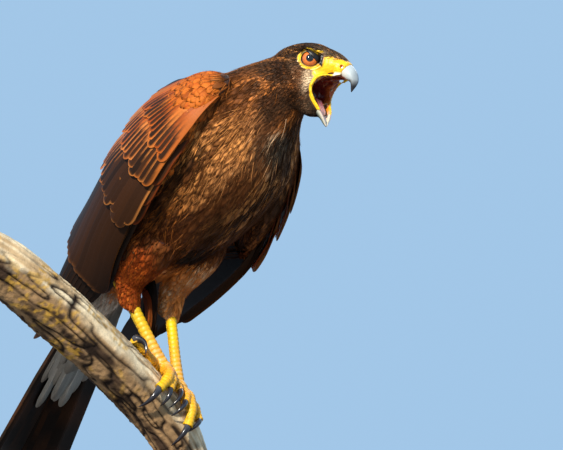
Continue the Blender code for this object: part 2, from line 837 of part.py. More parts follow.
def quill_share(part, from_tip, round_tip):
    """The share of a feather's half width at a part of its length, and at a distance from its tip."""
    swell = 0.45 + 0.55 * min(part / 0.45, 1.0)
    ending = math.sqrt(min(from_tip / round_tip, 1.0) * (2 - min(from_tip / round_tip, 1.0)))
    return swell * max(ending, NARROWEST_TIP)


def tier(count, roots, tips, width, heights, round_tip, bends=()):
    """A tier of feathers, each a dictionary: roots and tips hold the first and the last one's place along and
    across, heights the places and heights of the tier over the wing, and bends the places of its rows."""
    feathers = []
    for i in range(count):
        share = i / max(count - 1, 1)
        root = tuple(first + (last - first) * share for first, last in roots)
        tip_along = float(np.interp(share, np.linspace(0, 1, len(tips[0])), tips[0]))
        feathers.append(
            {
                "root": root,
                "tip": (tip_along, tips[1][0] + (tips[1][1] - tips[1][0]) * share),
                "width": width,
                "heights": heights,
                "round": round_tip,
                "bends": bends,
            }
        )
    return feathers


def wing_tiers():
    """The tiers of a folded wing, from the lowest to the one that lies over all the others, and each tier
    from its outermost feather to its innermost."""
    primaries = tier(
        7, ((72, 88), (0.06, 0.26)), ((250, 284, 306, 318, 312, 298, 280), (0.08, 0.66)), 17,
        ((70, -9.0), (150, -0.4), (200, 0.8), (330, 1.1)), 26, (160, 230),
    )
    secondaries = tier(
        9, ((94, 80), (0.13, 0.84)), ((240, 238, 235, 228, 196), (0.13, 0.86)), 21,
        ((75, -5.0), (110, 0.5), (150, 4.4), (240, 5.2)), 15, (120, 180),
    )
    greater = tier(
        7, ((60, 60), (0.10, 0.80)), ((152, 150, 144), (0.08, 0.82)), 22,
        ((60, -1.5), (100, 4.9), (125, 7.0), (152, 8.9)), 13, (100,),
    )
    median = tier(
        6, ((32, 32), (0.13, 0.79)), ((107, 104, 98), (0.11, 0.80)), 23,
        ((32, 1.0), (62, 6.6), (80, 8.6), (107, 10.2)), 12, (62,),
    )
    return [primaries, secondaries, greater, median]


def wing_feathers(side, laid, collection):
    """The feathers of a folded wing's tiers."""
    made = []
    for feathers in wing_tiers():
        for i, feather in enumerate(feathers):
            near = feathers[i + 1] if i + 1 < len(feathers) else feathers[i - 1]
            root, tip, round_tip = feather["root"], feather["tip"], feather["round"]
            length = tip[0] - root[0]
            places = [root[0]]
            places += [place for place in feather["bends"] if root[0] + 15 < place < tip[0] - round_tip - 8]
            places += [tip[0] - round_tip, tip[0] - round_tip * 0.25, tip[0]]
            rows = []
            for along in places:
                across = middle_line(feather, along)
                spacing = abs(middle_line(near, along) - across) * wing_span(side, along)
                tilt = min(FEATHER_STEP / max(spacing, 0.1), STEEPEST_TILT)
                part = (along - root[0]) / length
                half = feather["width"] / 2 * quill_share(part, tip[0] - along, round_tip)
                step = half / wing_span(side, along)
                height = float(np.interp(along, *zip(*feather["heights"])))
                rows.append([(along, across + c * step, height - c * tilt * half) for c in (-1, 1)])
            made.append(lay_vane(partial(wing_point, side), rows, laid, collection))
    return made


def middle_line(feather, along):
    """How far across the wing a feather's shaft lies at a distance from the wrist."""
    (root_along, root_across), (tip_along, tip_across) = feather["root"], feather["tip"]
    return root_across + (tip_across - root_across) * (along - root_along) / (tip_along - root_along)


def edge_feathers(side, laid, collection):
    """The thumb's feathers along the wing's lower edge and the scapulars over its upper edge, each over the
    next one behind it."""
    made = []
    for i in reversed(range(THUMB_FEATHERS)):
        root, tip = (36 + 16 * i, 0.03), (112 + 28 * i, 0.01)
        made.append(edge_feather(side, root, tip, 12, (-4.0, 6.0 - 1.2 * i), 18, laid, collection))
    for i in reversed(range(SCAPULARS)):
        root, tip = (20 + 17 * i, 1.02), (92 + 31 * i, 0.99)
        made.append(edge_feather(side, root, tip, 19, (-3.0, 9.0 - 1.2 * i), 16, laid, collection))
    return made


def edge_feather(side, root, tip, width, heights, round_tip, laid, collection):
    """A feather along one of the wing's edges."""
    rows = []
    length = tip[0] - root[0]
    for along in (root[0], root[0] + length * 0.45, tip[0] - round_tip, tip[0] - round_tip * 0.25, tip[0]):
        part = (along - root[0]) / length
        across = root[1] + (tip[1] - root[1]) * part
        step = width / 2 * quill_share(part, tip[0] - along, round_tip) / wing_span(side, along)
        height = heights[0] + (heights[1] - heights[0]) * min(part / 0.6, 1.0)
        rows.append([(along, across + c * step, height) for c in (-1, 1)])
    return lay_vane(partial(wing_point, side), rows, laid, collection)


def wing_core(name, side, collection):
    """The flesh of a folded wing, down to the torso."""
    rows = []
    for along, low, high, top, depth in WING_CORE:
        upper, lower = [], []
        for q in np.linspace(0, 1, WING_CORE_COLUMNS):
            across = low + (high - low) * q
            rounding = abs(2 * q - 1) ** 5
            upper.append((along, across, top - (top + depth * 0.4) * rounding))
            lower.append((along, across, depth * 0.4 * rounding - depth))
        rows.append((upper, lower))
    points, faces = sheet(partial(wing_point, side), rows)
    core = mesh_object(name, points, faces, collection)
    face_out(core)
    return core


def make_wings(parts, tools, looks):
    for side in WINGS:
        name = "wing_" + side
        core = wing_core(name, side, parts)
        laid = []
        feathers = wing_feathers(side, laid, tools) + edge_feathers(side, laid, tools)
        finish(core, name, looks, feathers, [torso_cutter(tools), neck_cutter(tools)], "MANIFOLD")


def tail_point(along, across, height):
    """A point on the tail: distance from its root, distance to the left and height over its middle."""
    down = np.array([-math.cos(TAIL_PITCH), 0.0, -math.sin(TAIL_PITCH)])
    over = np.array([-math.sin(TAIL_PITCH), 0.0, math.cos(TAIL_PITCH)])
    sideways = np.array([0.0, across, 0.0])
    return bird(*(TAIL_ROOT + down * along + sideways + over * (height - TAIL_ARCH * across**2)))


def tail_feather(root, tip, inner, outer, height, round_tip, bends, laid, collection):
    """A tail feather from root to tip, each (along, across), as wide as inner towards the middle and outer
    away from it. None but the middle pair crosses the tail's middle."""
    side = 1 if tip[1] >= 0 else -1
    length = tip[0] - root[0]
    rows = []
    for along in [root[0], *bends, tip[0] - round_tip, tip[0] - round_tip * 0.25, tip[0]]:
        part = (along - root[0]) / length
        across = root[1] + (tip[1] - root[1]) * part
        share = quill_share(part, tip[0] - along, round_tip)
        inside = across - side * inner * share
        if height < 0 and inside * side < GAP:
            inside = side * GAP
        outside = max(across * side + outer * share, inside * side + 1.0) * side
        rows.append([(along, place, height) for place in sorted((inside, outside))])
    return lay_vane(tail_point, rows, laid, collection)


def make_tail(parts, tools, looks):
    """The tail: a root, twelve quills that overlap from the middle pair down, and the coverts over and under
    them."""
    rings = []
    for along, width, depth in TAIL_CORE:
        centre = tail_point(along, 0, TAIL_CORE_DROP)
        over = unit(tail_point(along, 0, 1) - tail_point(along, 0, 0))
        rings.append(oval(centre, LEFT, over, width, depth, depth, 16))
    core = loft("tail", rings, parts)
    feathers, laid = [], []
    for side in (-1, 1):
        for i in range(TAIL_PAIRS):
            height = -TAIL_LAYER * i
            if i == 0:
                height = TAIL_LAYER if side > 0 else 0.0
            root = (26, side * (3.0 + 3.1 * i))
            tip = (TAIL_LENGTH - 1.5 * i, side * (6.0 + (TAIL_WIDTH - 6.0) * i / (TAIL_PAIRS - 1)))
            feathers.append(tail_feather(root, tip, 13.0, 10.0, height, 16, (90,), laid, tools))
    for root, tip, width, layers in TAIL_COVERTS:
        height = layers * TAIL_LAYER
        feathers.append(tail_feather(root, tip, width, width, height, 14, (45,), laid, tools))
    finish(core, "tail", looks, feathers, [torso_cutter(tools)], "MANIFOLD")


@lru_cache(maxsize=None)
def branch_line(count):
    """Points of the branch's middle line, each with the radius there."""
    keys = range(len(BRANCH))
    rows = [(*p, r) for p, r in BRANCH]
    return [smooth(keys, rows, k) for k in np.linspace(0, len(BRANCH) - 1, count)]


def branch_rings(count, grow=0.0):
    rows = branch_line(count)
    rings = []
    for i, row in enumerate(rows):
        along = unit(rows[min(i + 1, count - 1)][:3] - rows[max(i - 1, 0)][:3])
        across = unit(np.cross(along, UP))
        over = np.cross(across, along)
        ring = []
        for s in range(BRANCH_SIDES):
            a = 2 * math.pi * s / BRANCH_SIDES
            wave = 1 + 0.03 * math.sin(3 * a + 0.5 * i) + 0.02 * math.sin(5 * a - 0.9 * i)
            ring.append(row[:3] + (across * math.cos(a) + over * math.sin(a)) * (row[3] * wave + grow))
        rings.append(np.array(ring))
    return rings


def branch_at(point):
    """The branch's middle line nearest a point: the place on it, its direction and its radius."""
    rows = branch_line(BRANCH_POINTS)
    i = int(np.argmin([np.linalg.norm(row[:3] - point) for row in rows]))
    along = unit(rows[min(i + 1, BRANCH_POINTS - 1)][:3] - rows[max(i - 1, 0)][:3])
    return rows[i][:3], along, rows[i][3]


def foot_frame(foot):
    """The branch under a foot: its middle, its direction upwards, its radius, the way out to the foot and the
    way forwards round it."""
    centre, along, radius = branch_at(foot)
    out = unit((foot - centre) - along * ((foot - centre) @ along))
    ahead = np.cross(along, out)
    if ahead @ FORWARD < 0:
        ahead = -ahead
    return centre, along, radius, out, ahead


def round_branch(frame, swing, drift, height):
    """A point over the branch's bark."""
    centre, along, _, out, ahead = frame
    place, _, radius = branch_at(centre + along * drift)
    a = math.radians(swing)
    return place + (out * math.cos(a) + ahead * math.sin(a)) * (radius * BARK_SWELL + height)


def thigh_rings(side, ankle, foot):
    """Rings of a thigh, from the hip to just past the ankle."""
    forward, out, up = HIP
    hip = bird(forward, WINGS[side][0] * out, up)
    line = ankle - hip
    across = unit(np.cross(line, FORWARD))
    over = unit(np.cross(across, line))
    rings = []
    for share, width, depth in THIGH:
        centre = hip + line * share + (foot - ankle) * max(share - THIGH_BEND, 0)
        rings.append(oval(centre, across, over, width, depth, depth, 16))
    return rings


def toe_line(frame, start, end, drift, thick, thin):
    """A toe's middle line over the bark, and its radii."""
    shares = np.linspace(0, 1, TOE_ROWS)
    radii = thick + (thin - thick) * shares
    swings = start + (end - start) * shares
    line = [round_branch(frame, *place) for place in zip(swings, drift * shares, radii + GAP)]
    return line, list(radii)


def claw_line(frame, end, drift, thin, claw_swing, claw_drift):
    """A claw's middle line, which arches over the bark, and its radii."""
    points, sizes = [], []
    for share in np.linspace(0, 1, CLAW_ROWS):
        swing = end + math.copysign(claw_swing, end) * share
        height = thin * (1 - share) + CLAW_ARCH * math.sin(math.pi * share) + CLAW_CLEARANCE
        points.append(round_branch(frame, swing, drift + claw_drift * share, height))
        sizes.append(thin * CLAW_WIDTH * (1 - share) ** 0.7 + CLAW_POINT)
    return points, sizes


def make_leg(side, parts, tools, skin, feathers, claws):
    """A feathered thigh, a bare shank, a foot that grips the branch, and its claws."""
    ankle, foot = (bird(*place) for place in LEGS[side])
    rings = thigh_rings(side, ankle, foot)
    frame = foot_frame(foot)
    foot = round_branch(frame, 0, 0, PAD_RADIUS)
    shank_line = [ankle + (foot - ankle) * share for share, _ in SHANK]
    shank_radii = [SHANK_RADIUS * swell for _, swell in SHANK]
    shank_cut = tube("shank_cutter", shank_line, shank_radii, 12, tools, GAP)
    thigh = loft("thigh_" + side, rings, parts)
    finish(thigh, "thigh_" + side, feathers, (), [torso_cutter(tools), shank_cut])

    pad = ball("foot_" + side, foot, PAD_RADIUS, parts, 12, 8)
    toes = []
    for name, start, end, drift, thick, thin, claw_swing, claw_drift in TOES[side]:
        line, radii = toe_line(frame, start, end, drift, thick, thin)
        toes.append(tube("toe", line, radii, 8, tools))
        heading = unit(line[-1] - line[-2])
        points, sizes = claw_line(frame, end, drift, thin, claw_swing, claw_drift)
        points[0] = line[-1] - heading
        toe_cut = tube("toe_cutter", [*line, line[-1] + heading * GAP], [*radii, thin], 8, tools, GAP)
        claw = tube("claw", points, sizes, 7, parts)
        finish(claw, f"claw_{side}_{name}", claws, (), [branch_cutter(tools), toe_cut])
    shank_cut = tube("shank_cutter", shank_line, shank_radii, 12, tools, GAP)
    finish(pad, "foot_" + side, skin, toes, [branch_cutter(tools), shank_cut])
    finish(tube("shank_" + side, shank_line, shank_radii, 12, parts), "shank_" + side, skin)


def branch_cutter(tools):
    return loft("branch_cutter", branch_rings(BRANCH_RINGS, GAP), tools)


def upright_bar(radius, height, centre, sides, collection):
    bpy.ops.mesh.primitive_cylinder_add(
        vertices=sides, radius=radius * MM, depth=height * MM, location=np.asarray(centre) * MM
    )
    return moved_to(bpy.context.object, collection)


def make_perch(parts, tools, bark, wood):
    """The cut length of branch, the rod under its lower end and the round base."""
    branch = loft("perch_branch", branch_rings(BRANCH_RINGS), parts)
    (x, y, z), _ = BRANCH[0]
    low, high = BASE_HEIGHT + GAP, z + ROD_SOCKET
    middle = (x, y, (low + high) / 2)
    hole = upright_bar(ROD_RADIUS + GAP, high - low + 2 * GAP, middle, 16, tools)
    finish(branch, "perch_branch", bark, (), [hole])
    finish(upright_bar(ROD_RADIUS, high - low, middle, 16, parts), "stand_rod", wood)
    base = upright_bar(BASE_RADIUS, BASE_HEIGHT, (0, 0, BASE_HEIGHT / 2), 32, parts)
    edge = base.modifiers.new("edge", "BEVEL")
    edge.width = BASE_EDGE * MM
    edge.segments = 2
    edge.angle_limit = math.radians(40)
    evaluated(base)
    finish(base, "stand_base", wood)


def main():
    for obj in list(bpy.data.objects):
        bpy.data.objects.remove(obj)
    parts = bpy.data.collections.new("harris_hawk")
    tools = bpy.data.collections.new("cutters")
    for collection in (parts, tools):
        bpy.context.scene.collection.children.link(collection)

    brown = material("brown_plumage", (0.09, 0.045, 0.022), 0.8)
    rufous = material("rufous_plumage", (0.42, 0.14, 0.04), 0.8)
    wing_brown = material("wing_plumage", (0.07, 0.04, 0.025), 0.7)
    yellow = material("yellow_skin", (0.86, 0.58, 0.04), 0.5)
    horn = material("bill_horn", (0.62, 0.64, 0.62), 0.3)
    claw = material("claw_horn", (0.02, 0.02, 0.025), 0.25)
    flesh = material("mouth_flesh", (0.45, 0.08, 0.06), 0.4)
    eye = material("eye", (0.45, 0.14, 0.02), 0.05)
    bark = material("bark", (0.42, 0.36, 0.27), 0.9)
    wood = material("stand_wood", (0.12, 0.06, 0.03), 0.4)

    make_torso(parts, brown)
    make_neck(parts, tools, brown)
    make_head(parts, tools, yellow, horn, flesh, eye)
    make_wings(parts, tools, wing_brown)
    make_tail(parts, tools, wing_brown)
    for side in LEGS:
        make_leg(side, parts, tools, yellow, rufous, claw)
    make_perch(parts, tools, bark, wood)
    bpy.data.collections.remove(tools)


main()
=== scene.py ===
"""The looks of a calling Harris's hawk on a length of branch: its skin, plumage, head, legs and perch.

Every length is in millimetres unless a name or a comment says otherwise, and MM turns it into Blender's
metres. The hawk has a frame of its own: forward, left and up from the middle of its torso. The head has
another, midway between the eyes.
"""

import itertools
import math

import bmesh
import bpy
import numpy as np
from mathutils.bvhtree import BVHTree
from mathutils.kdtree import KDTree
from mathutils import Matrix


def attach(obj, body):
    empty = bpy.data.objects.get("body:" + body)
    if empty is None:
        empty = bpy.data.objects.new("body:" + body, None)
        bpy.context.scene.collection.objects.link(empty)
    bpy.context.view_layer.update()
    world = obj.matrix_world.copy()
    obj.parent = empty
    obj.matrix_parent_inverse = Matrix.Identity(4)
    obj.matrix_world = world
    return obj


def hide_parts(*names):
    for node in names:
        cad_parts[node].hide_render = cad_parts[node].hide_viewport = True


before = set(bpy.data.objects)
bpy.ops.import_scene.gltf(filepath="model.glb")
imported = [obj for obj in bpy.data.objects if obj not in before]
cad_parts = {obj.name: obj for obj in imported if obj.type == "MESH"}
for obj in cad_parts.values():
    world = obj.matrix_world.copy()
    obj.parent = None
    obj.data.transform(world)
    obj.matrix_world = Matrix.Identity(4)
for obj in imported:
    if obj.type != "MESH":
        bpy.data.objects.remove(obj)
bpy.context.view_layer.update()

MM = 0.001
SEED = 7
GRAIN_DEPTH = 0.0003  # how far fine grain is raised, in metres
BAKE_PATCH = 0.003  # how large each feather is on the OFBake map

# Where the hawk stands, and how it is turned
TORSO_CENTRE = np.array([0.0, 0.0, 284.0])
HEADING = math.radians(45)  # from +X towards -Y
HEAD_HEADING = math.radians(32)
HEAD_PITCH = math.radians(-6)
HEAD_ROLL = math.radians(8)  # its right side up
EYE_MIDDLE = (139.5, 15.5, 97.0)  # forward, left, up

# Trunk: forward, left, up, half width, half depth towards the back and towards the belly, from the rump to
# the head
TRUNK = [
    (-104, 0, -76, 13, 10, 11),
    (-88, 0, -62, 29, 22, 24),
    (-58, 0, -40, 47, 38, 42),
    (-20, 0, -12, 59, 50, 56),
    (20, 0, 17, 63, 54, 63),
    (56, 0, 48, 60, 49, 63),
    (86, 1, 69, 42, 34, 45),
    (106, 5, 82, 31, 25, 33),
    (122, 8, 90, 25, 21, 27),
]
BODY_COAT = 2.6  # how deep the coat is over the skin
HEAD_COAT = 1.3

# Head: distance forward of the eyes, top, bottom, half width
CRANIUM = [
    (-36, 9.6, -20, 15),
    (-28, 13.2, -26, 20),
    (-18, 16.0, -28, 23),
    (-7, 16.8, -26, 23.5),
    (3, 15.2, -21, 21.5),
    (10, 11.9, -17.5, 17.5),
    (16, 7.9, -15.5, 13.8),
    (21.5, 3.8, -14.2, 10.8),
    (28.2, -1.2, -13.2, 8.0),
]
CERE_LEAN = 0.4
# Cheeks: up of the eyes, front, back, half width
CHEEKS = [
    (-8, 8, -28, 20.0),
    (-14, 16, -28, 18.6),
    (-20, 15, -27, 18.2),
    (-26, 12, -25, 17.7),
    (-31, 8.6, -22, 15.3),
    (-36, 6, -18, 13.0),
    (-41, 5, -11, 10.5),
    (-44, 4, -6, 8.0),
]
# The open mouth's edge from the bill's base round the corner to the jaw: forward, up, distance from the
# middle, and the radius of its fleshy rim
RIM = [
    (27.0, -11.6, 8.0, 0.7),
    (18.0, -13.0, 12.6, 0.9),
    (12.0, -14.6, 16.2, 1.0),
    (8.4, -17.8, 17.6, 1.1),
    (6.2, -22.6, 17.8, 1.15),
    (5.8, -28.0, 16.9, 1.2),
    (8.2, -34.5, 14.0, 1.15),
    (11.8, -40.0, 11.2, 1.0),
    (13.0, -42.6, 9.4, 0.9),
]
# The mouth's hollow: forward and up of its middle, half width, height above and below
HOLLOW = [
    (30, -30, 11.5, 17.0, 12.0),
    (18, -28, 13.2, 17.4, 10.0),
    (9, -27, 14.2, 14.7, 8.1),
    (1, -26.5, 13.8, 10.4, 6.5),
    (-7, -27, 10.5, 6.5, 5.0),
    (-13, -28, 6.5, 4.5, 3.5),
]
EYE = (-1.6, 12.4, -1.4)
EYE_TURN = math.radians(27)  # the eyes look this far forwards of sideways
EYE_RADIUS = 9.2
IRIS_ANGLE = 47.0  # degrees from the middle of the gaze
PUPIL_ANGLE = 19.5
LID_WIDE = 7.3
LID_HIGH = 6.0
LID_SLANT = 0.76  # how much the upper lid, and the brow's painted shadow over it, come down forwards
OPENING_MARGIN = 1.2  # how much wider than the lids' opening the skin's opening is
LIDS = [
    # how far out from the middle, as a share of the opening, and the distance from the eye's middle
    (0.98, 8.6),
    (0.985, 9.35),
    (1.02, 9.95),
    (1.1, 10.4),
    (1.2, 10.6),
    (1.3, 10.5),
    (1.42, 10.1),
    (1.55, 9.4),
    (1.5, 8.4),
    (1.2, 8.3),
]
BROW = [
    # forward, distance from the middle, up, and the radius
    (17, 11.8, 2.4, 0.8),
    (9, 16.6, 5.6, 1.6),
    (-2, 20.4, 6.9, 2.0),
    (-12, 20.6, 6.0, 1.1),
]
BILL_UPPER = [
    # forward and up of the culmen, then of the cutting edge, and the half width
    ((28.2, 0.4), (24.8, -13.0), 8.4),
    ((33.0, -3.2), (28.2, -14.4), 7.2),
    ((37.2, -8.0), (31.2, -15.4), 5.8),
    ((39.2, -13.4), (32.8, -16.4), 4.4),
    ((38.6, -17.3), (33.4, -18.2), 3.1),
    ((36.8, -20.8), (33.8, -21.2), 1.8),
    ((34.9, -23.8), (34.3, -23.9), 0.5),
]
BILL_PALATE = [
    # forward and up of the middle, and the half width
    (22.0, -15.6, 6.0),
    (28.0, -15.8, 5.0),
    (31.0, -17.0, 3.2),
    (32.6, -18.8, 1.6),
]
JAW = [
    # forward and up of the inner edge, then of the underside, and the half width
    ((5.0, -30.0), (-4.0, -37.5), 15.5),
    ((8.2, -35.6), (1.8, -41.4), 13.4),
    ((11.6, -40.2), (6.4, -44.8), 10.8),
    ((13.0, -42.6), (8.8, -46.8), 9.2),
    ((14.6, -46.0), (11.4, -49.4), 6.8),
    ((15.6, -49.6), (13.4, -52.0), 4.0),
    ((16.2, -53.4), (15.6, -54.0), 0.8),
]
JAW_WALL = 1.7
PALATE_RIDGES = 1.15  # how close together they are, in radians for each millimetre
JAW_HORN_STATION = 2.6  # where the jaw's skin gives way to horn
TONGUE = [
    # station along the jaw, half width, half height
    (0.1, 6.4, 1.6),
    (1.2, 6.0, 2.0),
    (2.0, 4.8, 1.8),
    (2.6, 3.4, 1.3),
    (3.0, 1.6, 0.8),
]

# Wings: distance from the wrist, then the mantle's centre forward and up, half width, half depth towards
# the back and towards the belly, and the folded wing's lower and upper edge as angles round the body, from
# its side to its back
RIGHT_WING = [
    (0, 92, 80, 42, 26, 26, -10, 30),
    (25, 76, 68, 56, 36, 36, -16, 50),
    (60, 50, 44, 67, 54, 54, -18, 60),
    (120, 6, 6, 73, 61, 61, -23, 66),
    (180, -40, -30, 67, 52, 52, -32, 66),
    (240, -88, -62, 55, 39, 39, -50, 60),
    (290, -128, -100, 45, 25, 25, -42, 50),
    (330, -165, -131, 38, 17, 17, -20, 40),
]
LEFT_WING = [
    (0, 78, 65, 40, 30, 46, -20, 24),
    (25, 64, 54, 52, 40, 60, -27, 40),
    (60, 38, 32, 65, 50, 70, -38, 48),
    (120, -8, -6, 77, 56, 82, -40, 46),
    (180, -52, -43, 78, 52, 84, -31, 42),
    (240, -98, -79, 62, 40, 72, -32, 36),
    (290, -133, -115, 48, 28, 52, -32, 26),
    (330, -163, -146, 36, 20, 36, -34, 10),
]
WINGS = {"right": (-1, RIGHT_WING), "left": (1, LEFT_WING)}
WING_CORE = [
    # distance from the wrist, lower and upper edge across, height of its top and depth of its underside
    (2, 0.25, 0.8, 1.0, 5),
    (8, 0.08, 0.94, 3.5, 9),
    (22, -0.04, 1.06, 6.0, 16),
    (45, -0.1, 1.12, 7.2, 22),
    (75, -0.1, 1.14, 6.6, 24),
    (100, -0.06, 1.12, 4.4, 20),
    (125, 0.02, 1.02, 1.6, 14),
    (148, 0.1, 0.9, -1.8, 6),
]

# Tail
TAIL_ROOT = (-93.0, 0.0, -56.0)
TAIL_PITCH = math.radians(51.6)
TAIL_LENGTH = 232.0
TAIL_PAIRS = 6
TAIL_WIDTH = 37.0
TAIL_ARCH = 0.004
TAIL_CORE = [
    # distance from the tail's root, half width, half depth
    (-16, 15, 12),
    (0, 20, 11),
    (22, 22, 9),
    (45, 21, 7),
    (66, 15, 3.5),
]
# Fans of coverts: how many, how far roots and tips spread to each side, the middle one's reach and how much
# shorter the outer ones are, what is added at random, half width, the middle one's height and how much
# higher the outer ones lie, round tip and kind
TAIL_COVERTS = [
    (9, 14, 19, 96, 16, None, 9.5, 3.4, -1.2, 14, "upper"),
    (15, 12, 23, 154, 26, (-34, 16), 5.5, -7.2, 1.0, 14, "under"),
    (9, 13, 21, 112, 24, (-10, 8), 8.0, -8.2, 1.0, 16, "under"),
]

# Legs: ankle and foot of each side, forward, left, up
LEGS = {
    "right": ((-47.5, -33.0, -83.0), (-14.0, -24.0, -160.0)),
    "left": ((-48.5, 20.0, -87.0), (-11.5, 0.0, -167.0)),
}
HIP = (-14, 28, -34)
THIGH = [
    # share of the way from hip to ankle, half width, half depth
    (0.0, 22, 30),
    (0.3, 23, 29),
    (0.6, 18, 22),
    (0.85, 13, 15.0),
    (0.98, 10.5, 11.5),
    (1.06, 8.8, 9.4),
]
SHANK_RADIUS = 5.6
PAD_RADIUS = 7.8
# Toes of each foot: name, swing round the branch at the toe's root and tip in degrees, drift up the branch
# at its tip, radius at root and tip, then the claw's swing and drift
TOES = {
    "right": [
        ("inner", 8, 91, 6, 5.2, 4.3, 49, -1),
        ("middle", 8, 74, -3, 5.0, 3.9, 34, -4),
        ("outer", 2, 50, -14, 4.4, 3.5, 48, 0),
        ("hind", -8, 6, 41, 4.8, 4.2, 34, -11),
    ],
    "left": [
        ("inner", 6, 66, -3, 4.7, 3.9, 40, 1),
        ("middle", 6, 94, -17.5, 5.2, 4.1, 46, -5),
        ("outer", 0, 60, -24, 4.7, 3.8, 40, 2),
        ("hind", -10, -74, 3, 4.9, 4.2, 46, 2),
    ],
}

# Branch: its middle line in the world, from the cut lower end to the upper one, and its radius there
BRANCH = [
    ((1, 9, 41), 21),
    ((-15, -3, 78), 22),
    ((-38, -17, 108), 23),
    ((-65, -38, 137), 23.5),
    ((-93, -59, 164), 24),
    ((-121, -80, 188), 24.5),
    ((-148, -98, 209), 24.5),
    ((-171, -112, 224), 23),
]
BARK_SWELL = 1.05
USUAL_RADIUS = 23  # for the pattern of the bark

# Stand: radius and height along the base's moulded edge and along the collar at the rod's foot
BASE_HEIGHT = 15.0
BASE_EDGE = [
    (112, 0.2),
    (114.2, 1.5),
    (114.6, 4),
    (113.8, 7),
    (110.5, 9.2),
    (109.5, 9.8),
    (109.2, 11.2),
    (107.6, 13.4),
    (104, 14.6),
    (98, 15.0),
]
ROD_RADIUS = 6.0
COLLAR = [(9.5, 15.1), (9.8, 15.8), (9.4, 17.0), (8.2, 17.8), (7.2, 18.8), (6.9, 20.4), (6.3, 21.0)]

# Studio, in metres and watts: each light's name, place, size, power and colour, then the camera
LIGHTS = [
    ("key", (-1.0, -2.35, 1.9), 0.2, 172, (1.0, 0.93, 0.8)),
    ("fill", (1.9, -2.2, 0.9), 1.6, 3, (1.0, 0.95, 0.9)),
    ("back", (0.8, 2.2, 1.8), 1.4, 14, (1.0, 0.95, 0.88)),
]
LIT_PLACE = (0.0, 0.0, 0.27)
SKY_COLOUR = (0.37, 0.58, 0.82, 1)
SKY_STRENGTH = 0.98
FLOOR_COLOUR = (0.2, 0.2, 0.21, 1)
FLOOR_REACH = 6000  # millimetres
CAMERA_PLACE = (0.0778, -2.5901, 0.0275)
CAMERA_PITCH = math.radians(95)  # from straight down
CAMERA_LENS = 195.59  # millimetres, with a sensor 36 wide

FORWARD = np.array([math.cos(HEADING), -math.sin(HEADING), 0.0])
LEFT = np.array([math.sin(HEADING), math.cos(HEADING), 0.0])
UP = np.array([0.0, 0.0, 1.0])


def tone(red, green, blue):
    """A colour as the shaders take it, from its usual screen values out of 255."""
    values = np.array([red, green, blue]) / 255
    return np.where(values <= 0.04045, values / 12.92, ((values + 0.055) / 1.055) ** 2.4)


UMBER = tone(56, 30, 12)
BROWN = tone(102, 55, 20)
BLACKISH = tone(27, 19, 14)
SLATE = tone(60, 50, 44)
BUFF = tone(182, 120, 60)
PALE = tone(214, 186, 150)
WHITE = tone(228, 216, 198)
RUFOUS = tone(146, 60, 12)
CHESTNUT = tone(106, 40, 8)
ORANGE = tone(176, 94, 28)
YELLOW = tone(236, 186, 18)
OCHRE = tone(226, 150, 30)
OLIVE = tone(176, 152, 20)
MAROON = tone(92, 20, 14)
FLESH = tone(196, 84, 40)
PINK = tone(232, 168, 150)
HORN = tone(176, 184, 186)
HORN_TIP = tone(28, 26, 30)
CREAM = tone(232, 214, 190)
GOLD = tone(176, 100, 36)
TAN = tone(204, 134, 70)
SOOT = tone(25, 13, 5)


def unit(v):
    v = np.asarray(v, float)
    return v / np.maximum(np.linalg.norm(v, axis=-1, keepdims=True), 1e-9)


def ramp(low, high, at):
    """0 below low, 1 above high and smooth in between. With low over high it falls instead."""
    t = np.clip((np.asarray(at, float) - low) / (high - low), 0, 1)
    return t * t * (3 - 2 * t)


def mix(first, second, share):
    """Colours or directions between two, by shares from 0 to 1."""
    share = np.asarray(share, float)[..., None]
    return first * (1 - share) + second * share


def between(ends, share):
    """A number at a share of the way between two."""
    return ends[0] + (ends[1] - ends[0]) * share


def round_angles(count):
    """Angles evenly spaced round a circle, in radians."""
    return np.arange(count) * 2 * math.pi / count


def bird(forward, left, up):
    """Points of the hawk's frame in the world."""
    forward, left, up = (np.asarray(v, float)[..., None] for v in (forward, left, up))
    return TORSO_CENTRE + forward * FORWARD + left * LEFT + up * UP


HEAD_FORWARD = np.array(
    [
        math.cos(HEAD_HEADING) * math.cos(HEAD_PITCH),
        -math.sin(HEAD_HEADING) * math.cos(HEAD_PITCH),
        math.sin(HEAD_PITCH),
    ]
)
LEVEL_LEFT = np.array([math.sin(HEAD_HEADING), math.cos(HEAD_HEADING), 0.0])
HEAD_LEFT = LEVEL_LEFT * math.cos(HEAD_ROLL) - np.cross(HEAD_FORWARD, LEVEL_LEFT) * math.sin(HEAD_ROLL)
HEAD_UP = np.cross(HEAD_FORWARD, HEAD_LEFT)


def head(forward, left, up):
    """Points of the head's frame in the world."""
    forward, left, up = (np.asarray(v, float)[..., None] for v in (forward, left, up))
    return bird(*EYE_MIDDLE) + forward * HEAD_FORWARD + left * HEAD_LEFT + up * HEAD_UP


def in_head(points):
    """World points in the head's frame: forward, left and up."""
    away = points - bird(*EYE_MIDDLE)
    return away @ HEAD_FORWARD, away @ HEAD_LEFT, away @ HEAD_UP


def smooth(keys, values, at):
    """Reads a table at any places between its keys, on a smooth curve through its values."""
    keys = np.asarray(keys, float)
    values = np.asarray(values, float)
    at = np.asarray(at, float)
    slopes = np.gradient(values, keys, axis=0)
    i = np.clip(np.searchsorted(keys, at) - 1, 0, len(keys) - 2)
    span = keys[i + 1] - keys[i]
    t = np.clip((at - keys[i]) / span, 0.0, 1.0)
    if values.ndim > 1:
        t, span = t[..., None], span[..., None]
    return (
        (2 * t**3 - 3 * t**2 + 1) * values[i]
        + (t**3 - 2 * t**2 + t) * span * slopes[i]
        + (3 * t**2 - 2 * t**3) * values[i + 1]
        + (t**3 - t**2) * span * slopes[i + 1]
    )


